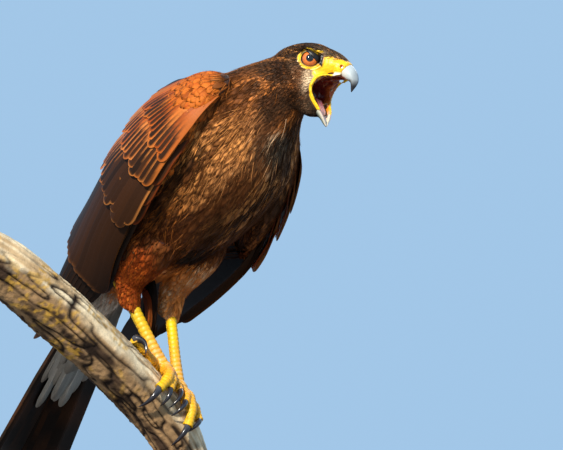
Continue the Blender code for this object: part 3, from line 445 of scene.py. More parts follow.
def lattice(cells, seed):
    """A random number from 0 to 1 for each whole-number cell."""
    x, y, z = (cells[..., k] for k in range(3))
    mixed = x * 73856093 ^ y * 19349663 ^ z * 83492791 ^ (seed * 2654435761 % 2**31)
    mixed = (mixed ^ (mixed >> 13)) * 1274126177 & 0x7FFFFFFF
    return ((mixed ^ (mixed >> 16)) & 0xFFFF) / 0xFFFF


def noise(points, size, seed=0):
    """Smooth noise from -1 to 1, with bumps about as large as size."""
    place = np.asarray(points, float) / size
    cell = np.floor(place).astype(np.int64)
    part = place - cell
    part = part * part * (3 - 2 * part)
    total = np.zeros(place.shape[:-1])
    for corner in itertools.product((0, 1), repeat=3):
        weight = np.prod(np.where(corner, part, 1 - part), axis=-1)
        total += weight * lattice(cell + np.array(corner), seed)
    return total * 2 - 1


def cells(points, size, seed=0):
    """How far points are inside the cells of an irregular pattern: 0 on the lines between them, and up to
    about 1."""
    place = np.asarray(points, float) / size
    home = np.floor(place).astype(np.int64)
    first = np.full(len(place), 9.0)
    second = np.full(len(place), 9.0)
    for step in itertools.product((-1, 0, 1), repeat=3):
        cell = home + np.array(step)
        middle = cell + np.stack([lattice(cell, seed + k) for k in range(3)], axis=-1)
        away = np.linalg.norm(place - middle, axis=-1)
        second = np.minimum(second, np.maximum(first, away))
        first = np.minimum(first, away)
    return second - first


# Meshes


def new_mesh(name, points, faces):
    """An object from points in millimetres and arrays of faces, each array with faces of as many corners."""
    faces = [np.asarray(f, np.int32) for f in faces if len(f)]
    corners = np.concatenate([f.ravel() for f in faces])
    sizes = np.concatenate([np.full(len(f), f.shape[1]) for f in faces])
    mesh = bpy.data.meshes.new(name)
    mesh.vertices.add(len(points))
    mesh.vertices.foreach_set("co", (np.asarray(points) * MM).astype(np.float32).ravel())
    mesh.loops.add(len(corners))
    mesh.loops.foreach_set("vertex_index", corners)
    mesh.polygons.add(len(sizes))
    mesh.polygons.foreach_set("loop_start", np.concatenate([[0], np.cumsum(sizes)[:-1]]).astype(np.int32))
    mesh.update(calc_edges=True)
    mesh.validate()
    mesh.shade_smooth()
    made = bpy.data.objects.new(name, mesh)
    bpy.context.scene.collection.objects.link(made)
    return made


def points_of(obj):
    values = np.empty(len(obj.data.vertices) * 3, np.float32)
    obj.data.vertices.foreach_get("co", values)
    return values.reshape(-1, 3).astype(float) / MM


def normals_of(obj):
    values = np.empty(len(obj.data.vertices) * 3, np.float32)
    obj.data.vertices.foreach_get("normal", values)
    return values.reshape(-1, 3).astype(float)


def set_points(obj, points):
    obj.data.vertices.foreach_set("co", (points * MM).astype(np.float32).ravel())
    obj.data.update()


def set_colours(obj, colours):
    """Gives each point of an object its own colour."""
    attribute = obj.data.color_attributes.new("Colour", "FLOAT_COLOR", "POINT")
    values = np.ones((len(colours), 4), np.float32)
    values[:, :3] = np.clip(colours, 0, 1)
    attribute.data.foreach_set("color", values.ravel())


def set_map(obj, name, places):
    """Gives an object a UV map from a place for each point."""
    corners = np.empty(len(obj.data.loops), np.int32)
    obj.data.loops.foreach_get("vertex_index", corners)
    layer = obj.data.uv_layers.new(name=name)
    layer.data.foreach_set("uv", np.asarray(places, np.float32)[corners].ravel())


def grid_faces(rows, columns, closed=False, around=False):
    """The faces of a grid of points, row by row. Its rows may be closed rings, and the last may go on to
    the first."""
    index = np.arange(rows * columns).reshape(rows, columns)
    if around:
        index = np.concatenate([index, index[:1]])
    if closed:
        index = np.concatenate([index, index[:, :1]], axis=1)
    return np.stack([index[:-1, :-1], index[:-1, 1:], index[1:, 1:], index[1:, :-1]], axis=-1).reshape(-1, 4)


def loft(rings):
    """The points and faces of a closed body through rings of points, with a fan over each end."""
    rings = np.asarray(rings)
    count, sides, _ = rings.shape
    points = np.concatenate([rings.reshape(-1, 3), [rings[0].mean(0), rings[-1].mean(0)]])
    quads = grid_faces(count, sides, True)
    ring = np.arange(sides)
    after = np.roll(ring, -1)
    last = (count - 1) * sides
    low = np.stack([after, ring, np.full(sides, count * sides)], axis=1)
    high = np.stack([ring + last, after + last, np.full(sides, count * sides + 1)], axis=1)
    return points, [quads, np.concatenate([low, high])]


def joined(bodies):
    """Several bodies' points and faces as one."""
    points, quads, triangles = [], [], []
    start = 0
    for body_points, faces in bodies:
        points.append(body_points)
        for group in faces:
            group = np.asarray(group)
            (quads if group.shape[1] == 4 else triangles).append(group + start)
        start += len(body_points)
    groups = [np.concatenate(g) for g in (quads, triangles) if g]
    return np.concatenate(points), groups


def face_out(obj):
    """Turns the faces outwards."""
    mesh = bmesh.new()
    mesh.from_mesh(obj.data)
    bmesh.ops.recalc_face_normals(mesh, faces=mesh.faces)
    mesh.to_mesh(obj.data)
    mesh.free()
    return obj


def body_object(name, bodies):
    return face_out(new_mesh(name, *joined(bodies)))


def with_modifiers_applied(obj):
    graph = bpy.context.evaluated_depsgraph_get()
    mesh = bpy.data.meshes.new_from_object(obj.evaluated_get(graph))
    obj.modifiers.clear()
    obj.data = mesh
    return obj


def fused(obj, voxel):
    """Makes one closed skin of the bodies that an object's mesh holds."""
    modifier = obj.modifiers.new("fuse", "REMESH")
    modifier.mode = "VOXEL"
    modifier.voxel_size = voxel * MM
    modifier.use_smooth_shade = True
    return with_modifiers_applied(obj)


def smoothed(obj, times, factor=0.5):
    modifier = obj.modifiers.new("smooth", "SMOOTH")
    modifier.factor = factor
    modifier.iterations = times
    return with_modifiers_applied(obj)


def carved(obj, cutters):
    """Cuts bodies from an object."""
    tools = bpy.data.collections.new("tools")
    bpy.context.scene.collection.children.link(tools)
    for cutter in cutters:
        bpy.context.scene.collection.objects.unlink(cutter)
        tools.objects.link(cutter)
    modifier = obj.modifiers.new("carve", "BOOLEAN")
    modifier.operation = "DIFFERENCE"
    modifier.operand_type = "COLLECTION"
    modifier.collection = tools
    modifier.solver = "MANIFOLD"
    with_modifiers_applied(obj)
    for cutter in cutters:
        bpy.data.objects.remove(cutter)
    bpy.data.collections.remove(tools)
    return obj


def placed(centre, across, over, x, y):
    """Points on a plane: x along across and y along over."""
    return centre + np.outer(x, across) + np.outer(y, over)


def oval(centre, across, over, half_width, above, below, sides):
    """A ring: half_width along across, and above or below along over."""
    angles = round_angles(sides)
    height = np.where(np.sin(angles) > 0, above, below) * np.sin(angles)
    return placed(centre, across, over, half_width * np.cos(angles), height)


def circle(centre, across, over, radius, sides):
    """A round ring."""
    return oval(centre, across, over, radius, radius, radius, sides)


def stretched(rings, by):
    """Rings with the first and the last one moved outwards."""
    rings = np.array(rings)
    middles = rings.mean(1)
    rings[0] += unit(middles[0] - middles[1]) * by
    rings[-1] += unit(middles[-1] - middles[-2]) * by
    return rings


def tube(points, radii, sides, flat=1.0):
    """A round tapered bar along a line of points, with rounded ends. flat is its width as a share of its
    height."""
    points = np.asarray(points, float)
    radii = np.asarray(radii, float)
    rings = []
    across = None
    for i, point in enumerate(points):
        along = unit(points[min(i + 1, len(points) - 1)] - points[max(i - 1, 0)])
        if across is None:
            across = unit(np.cross(along, UP if abs(along[2]) < 0.9 else FORWARD))
        across = unit(across - along * (across @ along))
        over = np.cross(along, across)
        rings.append(oval(point, across, over, radii[i] * flat, radii[i], radii[i], sides))
    return loft(rings)


def ball(centre, radius, segments=32, rings=20):
    """A closed sphere."""
    angles = np.linspace(0, math.pi, rings + 1)[1:-1]
    middles = [centre + UP * math.cos(angle) * radius for angle in angles]
    sizes = [radius * math.sin(angle) for angle in angles]
    return loft([circle(middle, FORWARD, LEFT, size, segments) for middle, size in zip(middles, sizes)])


def curve_through(points, count):
    """A smooth curve through a few points, each of any numbers, read at evenly spaced places."""
    return smooth(range(len(points)), points, np.linspace(0, len(points) - 1, count))


def lengths_along(line):
    """How far along a line of points each of them is."""
    return np.concatenate([[0], np.cumsum(np.linalg.norm(np.diff(line, axis=0), axis=1))])


def nearest_on(line, points):
    """Which of a line's points is nearest to each point."""
    return np.argmin(np.linalg.norm(points[:, None] - line[None], axis=2), axis=1)


def tree_of(spots):
    """A tree that finds the spots near a place."""
    tree = KDTree(len(spots))
    for i, spot in enumerate(spots):
        tree.insert(spot, i)
    tree.balance()
    return tree


# Materials


def material(name, roughness, **sockets):
    """A Principled material and its nodes, with the values that are the same all over."""
    made = bpy.data.materials.new(name)
    made.use_nodes = True
    nodes, links = made.node_tree.nodes, made.node_tree.links
    shader = nodes["Principled BSDF"]
    shader.inputs["Roughness"].default_value = roughness
    for socket, value in sockets.items():
        shader.inputs[socket.replace("_", " ")].default_value = value
    return made, nodes, links, shader


def painted(nodes):
    """The colour that each point carries."""
    node = nodes.new("ShaderNodeAttribute")
    node.attribute_name = "Colour"
    return node.outputs["Color"]


def varied(nodes, links, colour, amount, low, high):
    """A colour made darker and lighter by an amount from 0 to 1."""
    scale = nodes.new("ShaderNodeMapRange")
    scale.inputs["To Min"].default_value = low
    scale.inputs["To Max"].default_value = high
    links.new(amount, scale.inputs["Value"])
    node = nodes.new("ShaderNodeVectorMath")
    node.operation = "SCALE"
    links.new(colour, node.inputs[0])
    links.new(scale.outputs["Result"], node.inputs["Scale"])
    return node.outputs["Vector"]


def coloured(nodes, links, shader, amount, low, high):
    """Gives a material the points' colours, made darker and lighter by an amount from 0 to 1."""
    links.new(varied(nodes, links, painted(nodes), amount, low, high), shader.inputs["Base Color"])


def scaled(nodes, links, vector, scale):
    """A vector with each of its three numbers multiplied."""
    node = nodes.new("ShaderNodeMapping")
    node.inputs["Scale"].default_value = scale
    links.new(vector, node.inputs["Vector"])
    return node.outputs["Vector"]


def noise_node(nodes, links, vector, scale, detail=3.0):
    """Noise from 0 to 1, with more bumps the larger the scale is."""
    node = nodes.new("ShaderNodeTexNoise")
    node.inputs["Scale"].default_value = scale
    node.inputs["Detail"].default_value = detail
    links.new(vector, node.inputs["Vector"])
    return node.outputs["Fac"]


def bumped(nodes, links, shader, height, strength, distance):
    """Makes a material's surface look raised, by a height from 0 to 1."""
    node = nodes.new("ShaderNodeBump")
    node.inputs["Strength"].default_value = strength
    node.inputs["Distance"].default_value = distance
    links.new(height, node.inputs["Height"])
    links.new(node.outputs["Normal"], shader.inputs["Normal"])


def object_place(nodes):
    """Each point's place in the object."""
    return nodes.new("ShaderNodeTexCoord").outputs["Object"]


def plumage(name, barbs_across, barbs_along, depth, roughness=0.62):
    """Feathers: the points' colours with fine streaks along the barbs."""
    made, nodes, links, shader = material(name, roughness, Specular_IOR_Level=0.12)
    place = nodes.new("ShaderNodeUVMap")
    place.uv_map = "Barb"
    barbs = scaled(nodes, links, place.outputs["UV"], (barbs_across, barbs_along, 1.0))
    streaks = noise_node(nodes, links, barbs, 1.0, 2.0)
    coloured(nodes, links, shader, streaks, 1 - depth, 1 + depth)
    bumped(nodes, links, shader, streaks, 0.35, GRAIN_DEPTH)
    return made


def bare_skin(name, roughness=0.42, grain=900.0, strength=0.3, **sockets):
    """Bare skin: the points' colours, mottled, with a fine grain."""
    made, nodes, links, shader = material(name, roughness, Specular_IOR_Level=0.4, **sockets)
    shader.inputs["Subsurface Radius"].default_value = (0.0012, 0.0006, 0.0003)
    place = object_place(nodes)
    mottle = noise_node(nodes, links, place, grain * 0.4)
    coloured(nodes, links, shader, mottle, 0.82, 1.16)
    pattern = nodes.new("ShaderNodeTexVoronoi")
    pattern.inputs["Scale"].default_value = grain
    links.new(place, pattern.inputs["Vector"])
    bumped(nodes, links, shader, pattern.outputs["Distance"], strength, GRAIN_DEPTH)
    return made


def horn(name, roughness):
    """Bill and claws: the points' colours with faint growth lines and a polish."""
    made, nodes, links, shader = material(name, roughness, Coat_Weight=0.35, Coat_Roughness=0.12)
    place = object_place(nodes)
    lines = noise_node(nodes, links, place, 700.0, 4.0)
    coloured(nodes, links, shader, lines, 0.85, 1.12)
    bumped(nodes, links, shader, lines, 0.12, GRAIN_DEPTH)
    return made


def bark_material():
    """Dry bark: the points' colours with coarse and fine grain."""
    made, nodes, links, shader = material("bark", 0.88, Specular_IOR_Level=0.2)
    place = object_place(nodes)
    coarse = noise_node(nodes, links, place, 160.0, 8.0)
    fine = noise_node(nodes, links, place, 900.0, 6.0)
    colour = varied(nodes, links, painted(nodes), coarse, 0.55, 1.4)
    links.new(varied(nodes, links, colour, fine, 0.7, 1.3), shader.inputs["Base Color"])
    bumped(nodes, links, shader, fine, 0.6, 0.0008)
    return made


def wood_material():
    """Dark stained wood with its grain along X."""
    made, nodes, links, shader = material("stand_wood", 0.32, Coat_Weight=0.25, Coat_Roughness=0.2)
    grain = noise_node(nodes, links, scaled(nodes, links, object_place(nodes), (8.0, 90.0, 90.0)), 1.6, 8.0)
    colours = nodes.new("ShaderNodeValToRGB")
    colours.color_ramp.elements[0].position = 0.32
    colours.color_ramp.elements[0].color = (*tone(44, 24, 14), 1)
    colours.color_ramp.elements[1].position = 0.7
    colours.color_ramp.elements[1].color = (*tone(104, 62, 36), 1)
    links.new(grain, colours.inputs["Fac"])
    links.new(colours.outputs["Color"], shader.inputs["Base Color"])
    bumped(nodes, links, shader, grain, 0.15, GRAIN_DEPTH)
    return made


def finish_piece(obj, slot, materials, *nodes):
    """Puts a piece on the hawk's body with its materials and the nodes it stands for. slot is not used."""
    obj.data.materials.clear()
    for made in materials if isinstance(materials, (list, tuple)) else [materials]:
        obj.data.materials.append(made)
    if nodes:
        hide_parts(*nodes)
    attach(obj, "root")
    return obj


# The wing's and the tail's surfaces


def wing_row(side, along):
    """The wing's table read at distances from the wrist, without the distance itself."""
    table = WINGS[side][1]
    return smooth([row[0] for row in table], [row[1:] for row in table], along)


def wing_point(side, along, across, height):
    """Points on the folded wing: distance from the wrist, 0 to 1 from its lower edge to its upper, and
    height."""
    along, across, height = np.broadcast_arrays(*(np.asarray(v, float) for v in (along, across, height)))
    mark = WINGS[side][0]
    end = WINGS[side][1][-1][0]
    row = wing_row(side, along)
    step = wing_row(side, np.maximum(along - 6, 0)) - wing_row(side, np.minimum(along + 6, end))
    slope = unit(step[..., :2])
    angle = np.radians(row[..., 5] + (row[..., 6] - row[..., 5]) * across)
    width = row[..., 2]
    depth = np.where(angle > 0, row[..., 3], row[..., 4])
    outwards = np.cos(angle) / width
    backwards = np.sin(angle) / depth
    length = np.hypot(outwards, backwards)
    out = width * np.cos(angle) + height * outwards / length
    back = depth * np.sin(angle) + height * backwards / length
    return bird(row[..., 0] - back * slope[..., 1], mark * out, row[..., 1] + back * slope[..., 0])


def wing_span(side, along):
    """The folded wing's width across, measured on its surface."""
    row = wing_row(side, along)
    return (2 * row[..., 2] + row[..., 3] + row[..., 4]) / 4 * np.radians(row[..., 6] - row[..., 5])


def tail_point(along, across, height):
    """Points on the tail: distance from its root, distance to the left and height over its middle."""
    along, across, height = np.broadcast_arrays(*(np.asarray(v, float) for v in (along, across, height)))
    over = height - TAIL_ARCH * across**2
    forward = TAIL_ROOT[0] - math.cos(TAIL_PITCH) * along - math.sin(TAIL_PITCH) * over
    up = TAIL_ROOT[2] - math.sin(TAIL_PITCH) * along + math.cos(TAIL_PITCH) * over
    return bird(forward, TAIL_ROOT[1] + across, up)


# Skin


def trunk_rings(shrink, count=110, sides=72):
    """Rings of the trunk, smaller than the coat's outside by shrink."""
    keys = range(len(TRUNK))
    rings = []
    for station in np.linspace(0, len(TRUNK) - 1, count):
        forward, left, up, width, back, belly = smooth(keys, TRUNK, station)
        ahead = smooth(keys, TRUNK, min(station + 0.2, len(TRUNK) - 1))
        behind = smooth(keys, TRUNK, max(station - 0.2, 0))
        along = unit(ahead[:3] - behind[:3])
        across = unit(np.array([0.0, 1.0, 0.0]) - along * along[1])
        over = np.cross(along, across)
        less = shrink * min(1.0, station / 2) + 0.5
        sizes = (width - less, back - less, belly - less)
        ring = oval(np.array([forward, left, up]), across, over, *sizes, sides)
        rings.append(bird(*ring.T))
    return rings


def cranium_rings(shrink, count=60, sides=72):
    """Rings of the head from its back to the cere."""
    keys = [row[0] for row in CRANIUM]
    rings = []
    for forward in np.linspace(keys[0], keys[-1], count):
        _, top, bottom, width = smooth(keys, CRANIUM, forward)
        less = shrink * ramp(20, 5, forward)
        half = (top - bottom) / 2 - less
        lean = CERE_LEAN * min(max((forward - 8) / 20, 0), 1)
        middle = head(forward, 0, (top + bottom) / 2 - 0.5 * less)
        rings.append(oval(middle, HEAD_LEFT, HEAD_UP + HEAD_FORWARD * lean, width - less, half, half, sides))
    return rings


def cheek_rings(shrink, count=40, sides=64):
    """Rings of the cheeks and the throat, each a rounded square."""
    keys = [-row[0] for row in CHEEKS]
    rings = []
    angles = round_angles(sides)
    x = np.sign(np.cos(angles)) * np.abs(np.cos(angles)) ** 0.5
    y = np.sign(np.sin(angles)) * np.abs(np.sin(angles)) ** 0.5
    for down in np.linspace(keys[0], keys[-1], count):
        up, front, back, width = smooth(keys, CHEEKS, down)
        middle = head((front + back) / 2, 0, up)
        rings.append(placed(middle, HEAD_LEFT, HEAD_FORWARD, (width - shrink) * x, (front - back) / 2 * y))
    return rings


def hollow_rings(count=30, sides=48):
    """Rings of the mouth's hollow."""
    rows = curve_through(HOLLOW, count)
    return [oval(head(f, 0, u), HEAD_LEFT, HEAD_UP, w, above, below, sides) for f, u, w, above, below in rows]


def profile_row(table, key):
    """The two edges of the bill or the jaw at a station of its table, and the half width there."""
    row = smooth(range(len(table)), [(*a, *b, width) for a, b, width in table], key)
    return head(row[0], 0, row[1]), head(row[2], 0, row[3]), float(row[4])


def jaw_rings(first, last, count, grow=0.0, lower=0.0, sides=30):
    """Rings of the jaw, each a half oval under a flat top that joins its rims."""
    rings = []
    for key in np.linspace(first, last, count):
        top, bottom, width = profile_row(JAW, key)
        over = unit(top - bottom)
        depth = np.linalg.norm(top - bottom) + grow
        width = max(width + grow, 0.3)
        angles = math.pi * (1 + np.arange(sides + 1) / sides)
        ring = placed(top, HEAD_LEFT, over, width * np.cos(angles), depth * np.sin(angles))
        lid = top + over * (grow + lower)
        flat = lid + np.outer(np.linspace(1, -1, 9) * width, HEAD_LEFT)
        rings.append(np.concatenate([ring, flat]))
    return rings


def trough(count):
    """What is cut from the jaw between its walls."""
    rings = jaw_rings(0, len(JAW) - 1.6, count, -JAW_WALL, 3 * JAW_WALL)
    return body_object("trough", [loft(stretched(rings, 3.0))])


def rim_block():
    """What lies in front of the open mouth's edge, over the head's whole width."""
    line = curve_through([(f, u) for f, u, _, _ in RIM[:-1]], 40)
    outline = np.concatenate([line, [(50.0, -46.0), (50.0, -13.0)]])
    return loft([head(outline[:, 0], reach, outline[:, 1]) for reach in (-34.0, 34.0)])


def under_brow(ahead, height):
    """At places round the eye's middle, in mm ahead of it and over it: how dark the brow's shadow is, and
    how much of the thin yellow line over the shadow is there."""
    over_brow_line = height - (7.4 - 0.2 * (ahead + 3.0))
    over_lid = height - 2.4 + LID_SLANT * ahead
    dark = ramp(0.4, -0.2, over_brow_line) * ramp(-0.6, 0.2, over_lid)
    yellow = ramp(-0.1, 0.3, over_brow_line) * ramp(2.6, 2.0, over_brow_line)
    dark = dark * ramp(-6.0, -4.0, ahead) * ramp(12.0, 10.5, ahead)
    return dark, yellow * ramp(-5.0, -3.5, ahead) * ramp(15, 13, ahead)


def eye_frame(mark):
    """An eye's middle, which way it looks, and the way back across it."""
    centre = head(EYE[0], mark * EYE[1], EYE[2])
    out = HEAD_LEFT * mark * math.cos(EYE_TURN) + HEAD_FORWARD * math.sin(EYE_TURN)
    return centre, out, unit(np.cross(HEAD_UP, out)) * mark


def leg_lines(side):
    """The hip, ankle and foot of a leg, and the branch under its foot."""
    mark = WINGS[side][0]
    ankle, foot = (bird(*place) for place in LEGS[side])
    hip = bird(HIP[0], mark * HIP[1], HIP[2])
    frame_of_foot = foot_frame(foot)
    return hip, ankle, round_branch(frame_of_foot, 0, 0, PAD_RADIUS), frame_of_foot


def thigh_rings(side, shrink, count=40, sides=56):
    """Rings of a thigh from the hip past the ankle, where it bends towards the foot."""
    hip, ankle, foot, _ = leg_lines(side)
    line = ankle - hip
    across = unit(np.cross(line, FORWARD))
    over = unit(np.cross(across, line))
    rings = []
    for share, width, depth in curve_through(THIGH, count):
        centre = hip + line * share + (foot - ankle) * max(share - 0.85, 0) * 0.9
        less = shrink * ramp(1.1, 0.8, share)
        rings.append(oval(centre, across, over, width - less, depth - less, depth - less, sides))
    return rings


def near_thigh(side, points):
    """The line from a hip to its ankle, how far along it points are, and how far from it."""
    hip, ankle, _, _ = leg_lines(side)
    span = ankle - hip
    t = ((points - hip) @ span) / (span @ span)
    return span, t, np.linalg.norm(points - hip - np.clip(t, 0, 1.1)[:, None] * span, axis=1)


def wing_core(side):
    """The flesh of a folded wing, down to the torso."""
    rows = smooth([row[0] for row in WING_CORE], WING_CORE, np.linspace(2, 148, 50))
    across_share = np.linspace(0, 1, 40)
    rounding = np.abs(2 * across_share - 1) ** 5
    rings = []
    for along, low, high, top, depth in rows:
        across = low + (high - low) * across_share
        upper = wing_point(side, along, across, top - (top + depth * 0.4) * rounding)
        lower = wing_point(side, along, across, depth * 0.4 * rounding - depth)
        rings.append(np.concatenate([upper, lower[::-1]]))
    return loft(rings)


def tail_core():
    """The flesh at the tail's root."""
    rings = []
    for along, width, depth in curve_through(TAIL_CORE, 20):
        over = unit(tail_point(along, 0, 1) - tail_point(along, 0, 0))
        rings.append(oval(tail_point(along, 0, -3.0), LEFT, over, width, depth, depth, 40))
    return loft(rings)


def make_skin():
    """One skin from the bill's base to the tail, inside the plumage, with the eyes' openings and the open
    mouth."""
    block = body_object("head_block", [loft(cranium_rings(HEAD_COAT)), loft(cheek_rings(HEAD_COAT))])
    fused(block, 1.0)
    cutters = [body_object("rim_block", [rim_block()]), body_object("hollow", [loft(hollow_rings())])]
    for mark in (-1, 1):
        centre, out, back = eye_frame(mark)
        wide, high = LID_WIDE + OPENING_MARGIN, LID_HIGH + OPENING_MARGIN
        opening = [oval(centre + out * reach, back, HEAD_UP, wide, high, high, 32) for reach in (2, 20)]
        cutters.append(body_object("opening", [loft(opening)]))
        cutters.append(body_object("socket", [ball(centre, EYE_RADIUS + 0.5)]))
    carved(block, cutters)
    jaw = body_object("jaw", [loft(jaw_rings(0, JAW_HORN_STATION, 24, 0.0, 0.05))])
    carved(jaw, [trough(24)])

    bodies = [loft(trunk_rings(BODY_COAT)), tail_core()]
    bodies += [loft(thigh_rings(side, 2.0)) for side in WINGS]
    bodies += [wing_core(side) for side in WINGS]
    for mark in (-1, 1):
        brow = curve_through(BROW, 20)
        bodies.append(tube(head(brow[:, 0], mark * brow[:, 1], brow[:, 2]), brow[:, 3], 16))
        rim = curve_through(RIM, 50)
        bodies.append(tube(head(rim[:, 0], mark * (rim[:, 2] - rim[:, 3] * 0.6), rim[:, 1]), rim[:, 3], 14))
    skin = body_object("skin", bodies)
    parts = [skin, block, jaw]
    chosen = {"active_object": skin, "selected_editable_objects": parts, "selected_objects": parts}
    with bpy.context.temp_override(**chosen):
        bpy.ops.object.join()
    fused(skin, 1.1)
    smoothed(skin, 2)
    finer_face(skin)
    shape_face(skin)
    return skin


def finer_face(skin):
    """Splits the faces of the bare face into four, for its folds."""
    mesh = bmesh.new()
    mesh.from_mesh(skin.data)
    edges = []
    for edge in mesh.edges:
        middle = np.array((edge.verts[0].co + edge.verts[1].co) / 2) / MM
        forward, left, up = in_head(middle)
        if -16 < forward < 32 and -47 < up < 13 and abs(left) < 26:
            edges.append(edge)
    bmesh.ops.subdivide_edges(mesh, edges=edges, cuts=1, use_grid_fill=True, smooth=0.0)
    mesh.to_mesh(skin.data)
    mesh.free()
    skin.data.shade_smooth()


def distance_to_line(points, line):
    """The distance from each point to a line of points."""
    best = np.full(len(points), 1e9)
    for start, end in zip(line[:-1], line[1:]):
        span = end - start
        t = np.clip(((points - start) @ span) / (span @ span), 0, 1)
        best = np.minimum(best, np.linalg.norm(points - start - t[:, None] * span, axis=1))
    return best


def rim_line(mark):
    """The edge of the open mouth on one side."""
    rows = curve_through(RIM, 40)
    return head(rows[:, 0], mark * rows[:, 2], rows[:, 1])


def nostril_place(mark):
    """The nostril's middle on the cere."""
    return head(26.8, mark * 8.6, -5.0)


def bareness(points, normals):
    """How bare the skin is: 1 on the yellow face, 0 where feathers grow."""
    forward, _, up = in_head(points)
    far = np.linalg.norm(points - head(0, 0, -12), axis=1) > 60
    top = np.interp(forward, [-14, -4, 6, 13, 20, 27, 32], [-9, 6.0, 5.6, 3.6, 2.0, 0.8, 3.0])
    bottom = np.interp(forward, [-14, -8, 2, 7, 12, 30], [-6, -9.5, -12, -16, -24, -30])
    wander = noise(points, 3.0, 3) * 0.9
    lore = ramp(-1.2, 1.2, top - up + wander) * ramp(-1.5, 1.5, up - bottom + wander)
    lore = lore * ramp(3.0, 7.0, forward + wander)
    ring = np.zeros(len(points))
    rim = np.zeros(len(points))
    for mark in (-1, 1):
        centre, out, back = eye_frame(mark)
        away = points - centre
        height = away @ HEAD_UP
        high = LID_HIGH + np.where(height > 0, 1.6, 3.0)
        wide = np.hypot((away @ back) / (LID_WIDE + 2.8), height / high)
        ring = np.maximum(ring, ramp(1.1, 1.0, wide + wander * 0.02) * (away @ out > 0))
        shade, line = under_brow(-(away @ back), height)
        ring = np.maximum(ring, np.maximum(shade, line) * (away @ out > 0) * ramp(-16, -14, -forward))
        rim = np.maximum(rim, ramp(2.4, 1.7, distance_to_line(points, rim_line(mark)) + wander * 0.3))
    inside = in_mouth(points, normals)
    bare = np.maximum.reduce([lore, ring, rim, inside])
    bare[far] = 0
    return bare


def in_mouth(points, normals):
    """1 on the mouth's inner surface, which faces the mouth's middle."""
    forward, left, up = in_head(points)
    rows = curve_through(HOLLOW, 60)[::-1]
    middle = np.interp(forward, rows[:, 0], rows[:, 1])
    inwards = unit(head(forward, 0 * left, middle) - points)
    near = (forward > -15) & (forward < 28.5) & (np.abs(left) < 18) & (up > -48) & (up < -10.5)
    return near * ramp(0.0, 0.35, np.sum(inwards * normals, axis=1))


def shape_face(skin):
    """Folds, grain and nostrils of the bare face, and ridges in the roof of the mouth."""
    points, normals = points_of(skin), normals_of(skin)
    bare = bareness(points, normals)
    inside = in_mouth(points, normals)
    forward, left, up = in_head(points)
    face = bare * (1 - inside)
    push = face * (0.22 * noise(points, 1.7, 11) + 0.3 * noise(points * [1, 1, 1.6], 4.0, 12))
    push += face * 0.5 * ramp(20, 26, forward)  # the cere stands a little proud
    for mark in (-1, 1):
        centre, out, back = eye_frame(mark)
        away = points - centre
        ring = np.hypot((away @ back) / LID_WIDE, (away @ HEAD_UP) / LID_HIGH)
        below = ramp(1.0, -1.0, away @ HEAD_UP) * (away @ out > 0)
        fold = np.exp(-(((ring - 1.62) / 0.07) ** 2)) - 0.8 * np.exp(-(((ring - 1.48) / 0.06) ** 2))
        push += 0.45 * fold * below * face
        pit = np.linalg.norm(points - nostril_place(mark), axis=1)
        push += 0.4 * np.exp(-(((pit - 2.0) / 0.5) ** 2)) - 2.2 * ramp(1.4, 0.7, pit)
    ridges = np.cos(left * PALATE_RIDGES) * ramp(0, 6, forward) * ramp(-30, -20, up)
    push += inside * (0.5 * ridges + 0.25 * noise(points, 2.0, 13))
    set_points(skin, points + normals * push[:, None])


def mouth_colours(points):
    """Dark red in the throat, paler on the palate's ridges, and orange to yellow on the web at the corner."""
    forward, left, up = in_head(points)
    ridges = 0.5 * ramp(0.2, 0.95, np.cos(left * PALATE_RIDGES)) * ramp(-30, -18, up) * ramp(0, 10, forward)
    mouth = mix(MAROON, FLESH, ridges)
    mouth = mix(mouth, tone(120, 28, 16), 0.5 * ramp(-0.3, 0.6, noise(points, 3.0, 23)))
    to_edge = forward - np.interp(-up, [-row[1] for row in RIM], [row[0] for row in RIM])
    web = ramp(-6.0, -1.0, to_edge) * ramp(-14, -20, up)
    mouth = mix(mouth, mix(tone(176, 84, 30), tone(232, 150, 40), ramp(-28, -40, up)), web * 0.85)
    return mix(mouth, PINK, ramp(-34, -40, up) * ramp(8, 11, forward) * 0.7)


